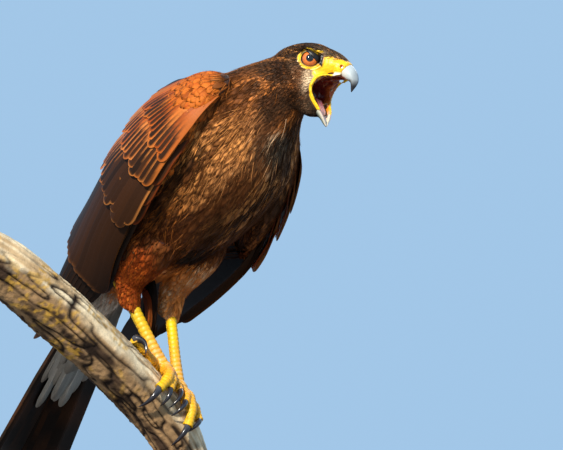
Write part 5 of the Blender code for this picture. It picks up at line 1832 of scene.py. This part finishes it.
# Tufts: where they grow and where they end, forward, left and up, how far they spread, their width, two
# colours and how many
TUFTS = [
    ((-46, -2, -72), (-47, -4, -126), 6, 8, SOOT, UMBER, 16),
    ((-54, 4, -76), (-54, 0, -118), 6, 8, SOOT, SOOT, 10),
    ((-48, -8, -84), (-42, -10, -122), 4, 5, CHESTNUT, ORANGE, 16),
]


def make_tufts(rng):
    """Long soft feathers that hang between the thighs."""
    made = plumage("tuft_plumage", 8.0, 2.0, 0.4)
    columns = np.linspace(-1, 1, 7)
    shares = np.linspace(0, 1, 9)
    feathers = []
    for root, tip, spread, width, own, edge, many in TUFTS:
        for _ in range(many):
            start = np.array(root) + rng.normal(0, 0.3, 3) * spread
            end = np.array(tip) + rng.normal(0, 0.3, 3) * spread * [1, 1, 0.8]
            bow = np.outer(np.sin(shares * math.pi), [4.0, 0.0, 1.0])
            line = bird(*(start + np.outer(shares, end - start) + bow).T)
            side = unit(np.cross(unit(np.gradient(line, axis=0)), LEFT + rng.normal(0, 0.3, 3)))
            half = width / 2 * np.array([0.5, 0.8, 1, 1, 1, 0.95, 0.85, 0.66, 0.3])
            depth = np.cross(side, unit(line[-1] - line[0]))
            places = line[:, None] + side[:, None] * (half[:, None] * columns)[..., None]
            places -= depth[:, None] * (0.25 * half[:, None] * columns**2)[..., None]
            amount = rng.uniform(0, 1, 7)[None] * ramp(0.2, 0.9, shares)[:, None]
            colours = mix(own, edge, amount) * rng.uniform(0.8, 1.2)
            feathers.append((places, colours, rng.uniform(0.4, 0.6, 2), np.linalg.norm(end - start)))
    feather_piece("tufts_between_legs", stacked(feathers), made, "brown_plumage")


# Tail


def tail_rows(rng):
    """Twelve quills from the middle pair down, and the coverts over and under them: root, tip, half width
    towards the middle and outwards, height, round tip and kind."""
    rows = []
    for side in (-1, 1):
        for i in range(TAIL_PAIRS):
            height = 0.9 if i == 0 and side > 0 else -0.95 * i
            tip = (TAIL_LENGTH - 1.5 * i, side * (6.0 + (TAIL_WIDTH - 6.0) * i / (TAIL_PAIRS - 1)))
            rows.append(((26, side * (3.0 + 3.1 * i)), tip, 13.0, 10.5, height, 16, "quill"))
    for fan in TAIL_COVERTS:
        count, root_spread, tip_spread, longest, less, wander, half, height, gain, round_tip, kind = fan
        for i in range(count):
            swing = (i - count // 2) / (count // 2)
            reach = longest - less * abs(swing) + (rng.uniform(*wander) if wander else 0)
            root = (2, swing * root_spread)
            tip = (reach, swing * tip_spread)
            rows.append((root, tip, half, half, height + gain * abs(swing), round_tip, kind))
    return rows


def make_tail(rng):
    """The tail's quills and coverts."""
    made = plumage("tail_plumage", 3.0, 30.0, 0.25, 0.42)
    x = QUILL_COLUMNS
    shaft = np.where(np.abs(x) < 0.1, 0.2, 0.0)
    feathers = []
    for root, tip, inner, outer, height, round_tip, kind in tail_rows(rng):
        along, part, across, swell = quill(root, tip, round_tip)
        side = 1 if tip[1] >= 0 else -1
        wide = np.where(x * side > 0, outer, inner)
        level = height + shaft - 0.06 * swell[:, None] * wide * x**2
        points = tail_point(along[:, None], across[:, None] + x * wide * swell[:, None], level)
        spot = (0.5 + root[1] / 60, 0.05 + 0.85 * (root[0] / 240) + (0.3 if kind == "under" else 0))
        feathers.append((points, tail_colours(kind, x, along, part, rng), spot, tip[0] - root[0]))
    feather_piece("tail_feathers", stacked(feathers), made, "wing_plumage", "tail")


def tail_colours(kind, x, along, part, rng):
    """A tail feather's colours: a dark quill with a white base and a pale tip, or a whitish covert."""
    x, along = np.broadcast_arrays(x[None, :], along[:, None])
    part = part[:, None] + 0 * x
    if kind == "quill":
        own = mix(SOOT, BLACKISH, rng.uniform(0, 1)) * (1 + 0.6 * ramp(0.06, 0.0, np.abs(x)))[..., None]
        waves = np.sin(along * 0.31 + 3 * x + rng.uniform(0, 6))
        mottled = ramp(0.35, 0.9, np.abs(x)) * ramp(80, 130, along) * ramp(-0.2, 0.3, waves)
        own = mix(own, BROWN, 0.4 * mottled)
        base = mix(own, WHITE, 0.9 * ramp(62, 44, along))
        tipped = mix(base, PALE, 0.85 * ramp(TAIL_LENGTH - 11, TAIL_LENGTH - 7, along))
        return mix(tipped, SLATE, 0.35 * ramp(0.8, 1.0, np.abs(x)))
    streak = ramp(0.5, 0.1, np.abs(x)) * ramp(0.35, 0.8, part)
    own = mix(WHITE, mix(SLATE, PALE, 0.5), rng.uniform(0, 0.4))
    own = mix(own, SLATE, 0.2 * ramp(0.75, 1.0, part) + 0.2 * ramp(0.7, 1.0, np.abs(x)))
    return mix(np.broadcast_to(own, (*x.shape, 3)), UMBER, streak * rng.uniform(0.2, 1.0))


# Legs and feet


def branch_rows(count):
    """Places along the branch's middle line, each with its radius."""
    return curve_through([(*place, radius) for place, radius in BRANCH], count)


def branch_at(point):
    """The branch's middle line nearest a point: the place on it, its direction and its radius."""
    rows = BRANCH_LINE
    i = int(np.argmin(np.linalg.norm(rows[:, :3] - point, axis=1)))
    before, after = rows[max(i - 1, 0)], rows[min(i + 1, len(rows) - 1)]
    span = after[:3] - before[:3]
    place = before + (after - before) * ((point - before[:3]) @ span) / (span @ span)
    return place[:3], unit(span), place[3]


def foot_frame(foot):
    """The branch under a foot: its middle, its direction, its radius, the way out to the foot and the way
    forwards."""
    centre, along, radius = branch_at(foot)
    out = unit((foot - centre) - along * ((foot - centre) @ along))
    ahead = np.cross(along, out)
    if ahead @ FORWARD < 0:
        ahead = -ahead
    return centre, along, radius, out, ahead


def round_branch(frame_of_foot, swing, drift, height):
    """A point over the branch's bark."""
    centre, along, _, out, ahead = frame_of_foot
    place, _, radius = branch_at(centre + along * drift)
    a = math.radians(swing)
    return place + (out * math.cos(a) + ahead * math.sin(a)) * (radius * BARK_SWELL + height)


def toe_line(frame_of_foot, toe, count):
    """A toe's middle line round the branch, and its radii."""
    _, start, end, drift, thick, thin, _, _ = toe
    shares = np.linspace(0, 1, count)
    radii = thick + (thin - thick) * shares
    knuckles = 0.35 * np.cos(shares * 2 * math.pi * 3)
    line = []
    for share, radius in zip(shares, radii):
        line.append(round_branch(frame_of_foot, between((start, end), share), drift * share, radius + 0.3))
    return np.array(line), radii + knuckles


def scutes(points, normals, lines, centre):
    """The small plates all over a leg, the bands across its front, and how much it is the front. lines are
    the shank's middle line and the toes', and centre is the branch's middle."""
    away = np.stack([distance_to_line(points, line) for line in lines], axis=1)
    owner = np.argmin(away, axis=1)
    plates = np.clip(cells(points, 2.1, 41) * 2.2, 0, 1)
    bands = np.zeros(len(points))
    fronts = np.zeros(len(points))
    for k, line in enumerate(lines):
        mine = owner == k
        nearest = nearest_on(line, points[mine])
        along_line = unit(np.gradient(line, axis=0))[nearest]
        past = np.sum((points[mine] - line[nearest]) * along_line, axis=1)
        place = lengths_along(line)[nearest] + past
        outward = FORWARD - 0.3 * LEFT if k == 0 else unit(line[nearest] - centre)
        facing = np.sum(normals[mine] * unit(outward), axis=1)
        spacing = 4.4 if k == 0 else 3.2
        fronts[mine] = ramp(0.15, 0.5, facing)
        bands[mine] = np.abs(np.sin(math.pi * place / spacing)) ** 0.45
    return plates, bands, fronts


def leg_colours(side, points, height, plates, bands, fronts):
    """Yellow with ochre towards the foot, darker between the plates. height is the distance from the foot."""
    base = mix(YELLOW, OCHRE, ramp(60, 20, height) * 0.75)
    base = mix(base, OLIVE, 0.55 * np.exp(-(((height - 55) / 14) ** 2)) * (side == "right"))
    orange = 0.45 * ramp(0.0, 0.8, noise(points, 6.0, 42)) * ramp(50, 25, height)
    base = mix(base, tone(214, 120, 44), orange)
    plate = np.maximum(plates * (1 - fronts), bands * fronts)
    base = mix(base * 0.42, base, ramp(0.0, 0.45, plate))
    # Painted highlights: pale on the crests of the front bands near the foot
    return mix(base, PALE, 0.35 * fronts * ramp(0.75, 1.0, bands) * ramp(40, 10, height))


def make_leg(side, skin_material, claw_material):
    """A bare shank and a foot that grips the branch, with plates on them, and the claws."""
    _, ankle, foot, on_branch = leg_lines(side)
    shares = np.linspace(-0.12, 0.94, 40)
    radii = SHANK_RADIUS * smooth([-0.12, 0.1, 0.45, 0.75, 0.94], [1.2, 1.0, 0.92, 0.96, 1.12], shares)
    shank = ankle + np.outer(shares, foot - ankle)
    bodies = [tube(shank, radii, 28, 0.9), ball(foot, PAD_RADIUS)]
    lines = [shank]
    for toe in TOES[side]:
        line, sizes = toe_line(on_branch, toe, 30)
        bodies.append(tube(line, sizes, 20))
        lines.append(line)
    leg = fused(body_object("leg_" + side, bodies), 0.6)
    smoothed(leg, 2)
    points, normals = points_of(leg), normals_of(leg)
    plates, bands, fronts = scutes(points, normals, lines, on_branch[0])
    relief = plates * 0.38 * (1 - fronts) + bands * 0.62 * fronts
    set_points(leg, points + normals * (relief - 0.35)[:, None])
    set_colours(leg, leg_colours(side, points, np.linalg.norm(points - foot, axis=1), plates, bands, fronts))
    finish_piece(leg, "yellow_skin", skin_material, "shank_" + side, "foot_" + side)
    for toe in TOES[side]:
        make_claw(side, toe, on_branch, claw_material)


def make_claw(side, toe, on_branch, claw_material):
    """A curved claw that goes on round the branch from its toe's tip."""
    name, _, end, drift, _, thin, claw_swing, claw_drift = toe
    line, _ = toe_line(on_branch, toe, 12)
    shares = np.linspace(0, 1, 22)
    points = []
    for share in shares:
        swing = end + math.copysign(claw_swing, end) * share
        height = thin * (1 - share) + 3.5 * math.sin(math.pi * share) + 0.9
        points.append(round_branch(on_branch, swing, drift + claw_drift * share, height))
    points[0] = line[-1] - unit(line[-1] - line[-2])
    sizes = np.interp(np.linspace(0, 1, 30), shares, thin * 0.8 * (1 - shares) ** 0.75 + 0.22)
    claw = body_object(f"claw_{side}_{name}_horn", [tube(curve_through(points, 30), sizes, 18, 0.78)])
    places = points_of(claw)
    from_root = np.linalg.norm(places - points[0], axis=1) / np.linalg.norm(points[-1] - points[0])
    dark = tone(34, 32, 38)
    pale = tone(120, 116, 118)
    set_colours(claw, mix(dark, pale, 0.5 * ramp(0.35, 0.0, from_root)))
    finish_piece(claw, "claw_horn", claw_material, f"claw_{side}_{name}")


# Bill, tongue and eyes


def horn_edges(obj):
    """Smooth faces, with sharp edges where they turn by more than 50 degrees."""
    obj.data.shade_smooth()
    obj.data.set_sharp_from_angle(angle=math.radians(50))


def make_bill(made):
    """The upper bill's hooked horn, hollow below."""
    keys = np.linspace(0, len(BILL_UPPER) - 1, 60)
    sides = 56
    rings = []
    for key in keys:
        top, bottom, width = profile_row(BILL_UPPER, key)
        half = np.linalg.norm(top - bottom) / 2
        over = unit(top - bottom)
        angles = round_angles(sides)
        pinch = 1 - 0.28 * np.maximum(np.sin(angles), 0) ** 2
        middle = (top + bottom) / 2
        rings.append(placed(middle, HEAD_LEFT, over, width * pinch * np.cos(angles), half * np.sin(angles)))
    bill = body_object("bill_upper_horn", [loft(rings)])
    rows = curve_through(BILL_PALATE, 20)
    palate = [oval(head(f, 0, u), HEAD_LEFT, HEAD_UP, width, 3.2, 3.2, 32) for f, u, width in rows]
    carved(bill, [body_object("palate", [loft(palate)])])
    horn_edges(bill)
    points = points_of(bill)
    forward, left, up = in_head(points)
    tipward = ramp(-13.0, -20.0, up) * ramp(30, 33, forward)
    colours = mix(HORN, tone(118, 126, 132), ramp(33, 38, forward) * 0.6)
    colours = mix(colours, CREAM, 0.5 * ramp(-6, -12, up) * ramp(34, 28, forward))
    colours = mix(colours, HORN_TIP, tipward)
    edge = ramp(-13.6, -15.4, up) * ramp(36.5, 33.5, forward) * ramp(26, 29, forward)
    colours = mix(colours, tone(52, 44, 42), edge * 0.8)
    inside = np.abs(left) < np.interp(forward, [22, 28, 31, 33], [6.3, 5.3, 3.5, 1.8])
    inside &= (up < -11.5) & (forward < 33) & (normals_of(bill) @ HEAD_UP < 0.2)
    colours[inside] = FLESH * 0.8
    set_colours(bill, colours)
    return finish_piece(bill, "bill_horn", made, "bill_upper")


def make_lower_bill(made):
    """The lower bill's horn, a trough that goes on from the jaw."""
    rings = jaw_rings(JAW_HORN_STATION - 0.15, len(JAW) - 1.0, 40, 0.15, 0.05)
    jaw = body_object("bill_lower_horn", [loft(rings)])
    carved(jaw, [trough(40)])
    horn_edges(jaw)
    points = points_of(jaw)
    forward, _, up = in_head(points)
    inner = np.interp(-up, [-row[0][1] for row in JAW], [row[0][0] for row in JAW])
    outer = np.interp(-up, [-row[1][1] for row in JAW], [row[1][0] for row in JAW])
    depth = (inner - forward) / np.maximum(inner - outer, 0.5)
    colours = mix(tone(206, 200, 178), tone(120, 126, 112), ramp(0.1, 0.5, depth))
    colours = mix(colours, HORN_TIP, ramp(0.55, 0.85, depth) * ramp(-42, -47, up))
    inside = normals_of(jaw) @ HEAD_FORWARD > 0.35
    colours[inside] = mix(CREAM, PINK, 0.5 * ramp(-50, -44, up))[inside]
    set_colours(jaw, colours)
    return finish_piece(jaw, "bill_horn", made, "bill_lower")


def make_tongue(made):
    """The tongue, with a groove along its middle."""
    rings = []
    for key, width, height in curve_through(TONGUE, 30):
        top, bottom, _ = profile_row(JAW, key)
        over = unit(top - bottom)
        angles = round_angles(32)
        groove = 1 - 0.45 * np.exp(-((np.cos(angles) / 0.25) ** 2)) * (np.sin(angles) > 0)
        heights = height * groove * np.sin(angles)
        rings.append(placed(top - over * 2.0, HEAD_LEFT, over, width * np.cos(angles), heights))
    tongue = body_object("tongue_flesh", [loft(rings)])
    points = points_of(tongue)
    _, _, up = in_head(points)
    set_colours(tongue, mix(tone(168, 66, 50), PINK, ramp(-34, -44, up)))
    return finish_piece(tongue, "mouth_flesh", made, "tongue")


def make_eye(side, mark, eye_material):
    """An eyeball with its iris and pupil."""
    centre, out, back = eye_frame(mark)
    down = np.cross(out, back)
    angles = np.radians(np.concatenate([np.linspace(1.2, 60, 50), np.linspace(64, 176, 20)]))
    rings = []
    for angle in angles:
        bulge = EYE_RADIUS + 0.5 * float(ramp(math.radians(IRIS_ANGLE), 0.0, angle))
        rings.append(circle(centre + out * math.cos(angle) * bulge, back, down, bulge * math.sin(angle), 64))
    eye = body_object("eyeball_" + side, [loft(rings)])
    points = points_of(eye)
    away = points - centre
    angle = np.degrees(np.arccos(np.clip(unit(away) @ out, -1, 1)))
    spoke = np.arctan2(away @ back, away @ down)
    streak = 0.5 + 0.5 * np.sin(spoke * 46 + 2 * np.sin(spoke * 9))
    iris = mix(tone(206, 104, 26), tone(140, 62, 16), 0.6 * streak)
    iris = mix(iris, tone(70, 28, 10), ramp(IRIS_ANGLE - 10, IRIS_ANGLE, angle))
    iris = mix(iris, tone(226, 130, 40), 0.5 * np.exp(-(((angle - PUPIL_ANGLE - 5) / 4) ** 2)))
    colours = mix(iris, tone(6, 5, 5), ramp(PUPIL_ANGLE + 1.2, PUPIL_ANGLE - 1.2, angle))
    colours = mix(colours, tone(20, 12, 8), ramp(IRIS_ANGLE - 2, IRIS_ANGLE + 3, angle))
    set_colours(eye, colours)
    finish_piece(eye, "eye", eye_material, "eye_" + side)


def make_lids(side, mark, skin_material):
    """The ring of lids round an eye's opening."""
    centre, out, back = eye_frame(mark)
    down = np.cross(out, back)
    sides = 72
    turns = np.linspace(0, 2 * math.pi, sides, endpoint=False)
    rings = []
    for wide, distance in LIDS:
        high = np.where(np.sin(turns) > 0, LID_HIGH * (0.85 + 0.15 * wide), LID_HIGH * 0.98)
        x = LID_WIDE * wide * np.cos(turns)
        y = high * wide * np.sin(turns) - 0.4
        # The upper lid's edge slants down forwards over the iris; coloured black, it stands in for the brow's
        # shadow as painted shade
        covered = np.minimum(y, np.maximum(2.5 + LID_SLANT * x, -2.6))
        y = covered + (y - covered) * float(ramp(0.98, 1.3, wide))
        flat = np.minimum(np.hypot(x, y) / distance, 0.985)
        reach = distance * np.sqrt(1 - flat**2)
        wrinkle = 0.12 * np.sin(turns * 23) * ramp(1.05, 1.3, wide)
        rings.append(centre + np.outer(x, back) + np.outer(y, -down) + np.outer(reach + wrinkle, out))
    points = np.concatenate(rings)
    count = len(LIDS)
    lids = face_out(new_mesh("eyelids_" + side, points, [grid_faces(count, sides, True, True)]))
    row = np.repeat(np.arange(count), sides)
    lower = np.tile(ramp(0.1, -0.6, np.sin(turns)), count)
    black = (row <= 1) + 0.9 * (row == 2) + lower * 0.8 * (row == 3)
    place = points - centre
    # Painted shade: the brow's shadow blackens the lids below the brow line, and their top behind the eye
    shade, _ = under_brow(-(place @ back), place @ HEAD_UP)
    behind = ramp(1.0, 3.0, place @ HEAD_UP) * ramp(-1.0, 1.0, place @ back)
    black = np.maximum.reduce([black, shade, 0.85 * behind])
    colours = mix(mix(YELLOW, OCHRE, 0.4 * lower), tone(16, 10, 8), np.clip(black, 0, 1))
    set_colours(lids, colours)
    finish_piece(lids, "yellow_skin", skin_material)


# Perch and stand


def make_branch(made):
    """A weathered branch with cracked bark, lichen and a splintered upper end."""
    count = 260
    sides = 150
    rows = branch_rows(count)
    lines = rows[:, :3]
    along = unit(np.gradient(lines, axis=0))
    across = unit(np.cross(along, UP))
    over = np.cross(across, along)
    angles = round_angles(sides)
    ring = np.arange(count)[:, None] * (len(BRANCH) - 1) / (count - 1)
    wave = 1 + 0.03 * np.sin(3 * angles + 0.5 * ring * 2.7) + 0.02 * np.sin(5 * angles - 0.9 * ring * 2.7)
    x = np.cos(angles)[None] * USUAL_RADIUS
    y = np.sin(angles)[None] * USUAL_RADIUS
    around_bark = np.stack(np.broadcast_arrays(x, y, lengths_along(lines)[:, None]), axis=-1)
    grain = around_bark * [1, 1, 0.22]
    cracks = 1 - np.abs(noise(grain, 5.0, 51)) * 2.2
    deep = np.clip(cracks, 0, 1) ** 3
    underside = ramp(0.35, -0.4, np.sin(angles))[None] * np.ones((count, 1))
    rough = 0.35 + 0.65 * np.maximum(underside, ramp(0.0, 0.5, noise(around_bark * [1, 1, 0.5], 26.0, 52)))
    relief = 1.1 * noise(grain, 9.0, 53) + 0.6 * noise(around_bark, 3.0, 54)
    relief += 0.35 * noise(around_bark, 1.3, 55)
    swell = rough * relief - 2.0 * deep * rough + 0.4 * noise(around_bark * [1, 1, 0.4], 14.0, 56)
    radius = rows[:, 3, None] * wave * 0.985 + np.minimum(swell, 1.3)
    points = lines[:, None] + across[:, None] * (np.cos(angles) * radius)[..., None]
    points += over[:, None] * (np.sin(angles) * radius)[..., None]
    ragged = 5.0 * noise(np.stack([np.cos(angles) * 9, np.sin(angles) * 9, angles * 0], axis=-1), 2.4, 57)
    points[-8:] += along[-8:, None] * (np.linspace(0, 1, 8)[:, None] * np.minimum(ragged, 1.5))[..., None]
    branch = body_object("branch_bark", [loft(points)])
    top = (1 - underside).reshape(-1)
    colours = bark_colours(around_bark.reshape(-1, 3), top, (deep * rough).reshape(-1))
    ends = mix(np.broadcast_to(tone(188, 152, 112), (2, 3)), BROWN, [0.4, 0.2])
    set_colours(branch, np.concatenate([colours, ends]))
    finish_piece(branch, "bark", made, "perch_branch")


def bark_colours(places, top, cracked):
    """Bleached grey above and brown below, with lichen and dark cracks."""
    bleached = ramp(-0.4, 0.5, noise(places * [1, 1, 0.12], 3.0, 58))
    weathered = ramp(-0.3, 0.5, noise(places * [1, 1, 0.25], 5.0, 59))
    grey = mix(tone(236, 216, 180), tone(190, 160, 120), bleached)
    brown = mix(tone(152, 120, 84), tone(62, 45, 32), weathered)
    colours = mix(brown, grey, np.clip(top * 1.1 - 0.35 * ramp(0.0, 0.5, noise(places, 16.0, 60)), 0, 1))
    lichen = ramp(0.05, 0.4, noise(places, 9.0, 61)) * ramp(-0.2, 0.3, noise(places, 2.5, 62))
    colours = mix(colours, tone(196, 150, 58), 0.65 * (lichen * ramp(70, 150, places[:, 2])))
    return mix(colours, tone(40, 28, 20), np.clip(cracked * 1.5, 0, 1))


def turned(name, profile, sides, x=0.0, y=0.0):
    """A turned body round the upright line through a place, from rows of radius and height."""
    angles = round_angles(sides)
    rings = []
    for radius, height in profile:
        places = [radius * np.cos(angles) + x, radius * np.sin(angles) + y, np.full(sides, height)]
        rings.append(np.stack(places, axis=1))
    return body_object(name, [loft(rings)])


def make_stand(made):
    """A round moulded base and a short rod up to the branch."""
    profile = [(60, 0.0), (111, 0.0), *curve_through(BASE_EDGE, 60), (60, BASE_HEIGHT), (14, BASE_HEIGHT)]
    base = turned("base_wood", profile, 128)
    finish_piece(base, "stand_wood", made, "stand_base")
    (x, y, z), _ = BRANCH[0]
    shape = [(ROD_RADIUS, BASE_HEIGHT + 0.2), (ROD_RADIUS, z + 13.5)]
    profile = [(5.6, BASE_HEIGHT + 0.1), *curve_through(shape, 12), (5.6, z + 13.8)]
    rod = turned("rod_wood", profile, 40, x, y)
    collar = turned("rod_collar", curve_through(COLLAR, 30), 48, x, y)
    finish_piece(rod, "stand_wood", made, "stand_rod")
    finish_piece(collar, "stand_wood", made)


# The studio


def make_studio():
    """A dark grey floor, a pale blue sky, three lights and the camera."""
    world = bpy.data.worlds.new("studio")
    bpy.context.scene.world = world
    world.use_nodes = True
    background = world.node_tree.nodes["Background"]
    background.inputs["Color"].default_value = SKY_COLOUR
    background.inputs["Strength"].default_value = SKY_STRENGTH
    corners = np.array([(-1, -1, 0), (1, -1, 0), (1, 1, 0), (-1, 1, 0)])
    floor = new_mesh("floor", corners * FLOOR_REACH, [[(0, 1, 2, 3)]])
    made, _, _, shader = material("floor", 0.9)
    shader.inputs["Base Color"].default_value = FLOOR_COLOUR
    floor.data.materials.append(made)
    for name, place, size, power, colour in LIGHTS:
        light = bpy.data.lights.new(name, "AREA")
        light.size = size
        light.energy = power
        light.color = colour
        lamp = bpy.data.objects.new(name, light)
        lamp.location = place
        lamp.rotation_euler = look_along(np.array(LIT_PLACE) - np.array(place))
        bpy.context.scene.collection.objects.link(lamp)
    camera = bpy.data.cameras.new("camera")
    camera.sensor_width = 36
    camera.lens = CAMERA_LENS
    camera.clip_end = 100
    seen = bpy.data.objects.new("camera", camera)
    seen.location = CAMERA_PLACE
    seen.rotation_euler = (CAMERA_PITCH, 0, 0)
    bpy.context.scene.collection.objects.link(seen)
    bpy.context.scene.camera = seen
    bpy.context.scene.view_settings.view_transform = "Standard"


def look_along(direction):
    """The turn of a lamp that shines along a direction."""
    x, y, z = unit(direction)
    return (math.acos(max(-1.0, min(1.0, -z))), 0.0, math.atan2(-x, y) if z < 0.999 else 0.0)


# What several functions above read, worked out once

BRANCH_LINE = branch_rows(200)
AXIS = axis_table()
COAT_PLACES = places_of_coat()


def main():
    """Builds the studio, the hawk, its perch and the stand."""
    rng = np.random.default_rng(SEED)
    make_studio()
    face_material = bare_skin("face_skin", 0.4, 800.0, 0.25, Subsurface_Weight=0.12)
    mouth_material = bare_skin("mouth_flesh", 0.28, 500.0, 0.2, Subsurface_Weight=0.15, Coat_Weight=0.4)
    horn_material = horn("bill_horn", 0.3)
    claw_material = horn("claw_horn", 0.22)
    eye_material, _, links, shader = material("eye", 0.08, Coat_Weight=1.0, Coat_Roughness=0.02)
    links.new(painted(eye_material.node_tree.nodes), shader.inputs["Base Color"])

    skin = make_skin()
    bare, inside = skin_colours(skin)
    flesh = ("torso", "neck", "head", "jaw_lower", "mouth_lining")
    finish_piece(skin, "yellow_skin", [face_material, mouth_material], *flesh)
    corners = [list(p.vertices) for p in skin.data.polygons]
    skin.data.polygons.foreach_set("material_index", [int(np.mean(inside[c]) > 0.5) for c in corners])
    make_coat(skin, bare, rng)
    make_tufts(rng)
    make_wings(rng)
    make_tail(rng)
    make_bill(horn_material)
    make_lower_bill(horn_material)
    make_tongue(mouth_material)
    for side, (mark, _) in WINGS.items():
        make_eye(side, mark, eye_material)
        make_lids(side, mark, face_material)
        leg_material = bare_skin("leg_skin_" + side, 0.45, 700.0, 0.15, Subsurface_Weight=0.08)
        make_leg(side, leg_material, claw_material)
    make_branch(bark_material())
    make_stand(wood_material())


main()
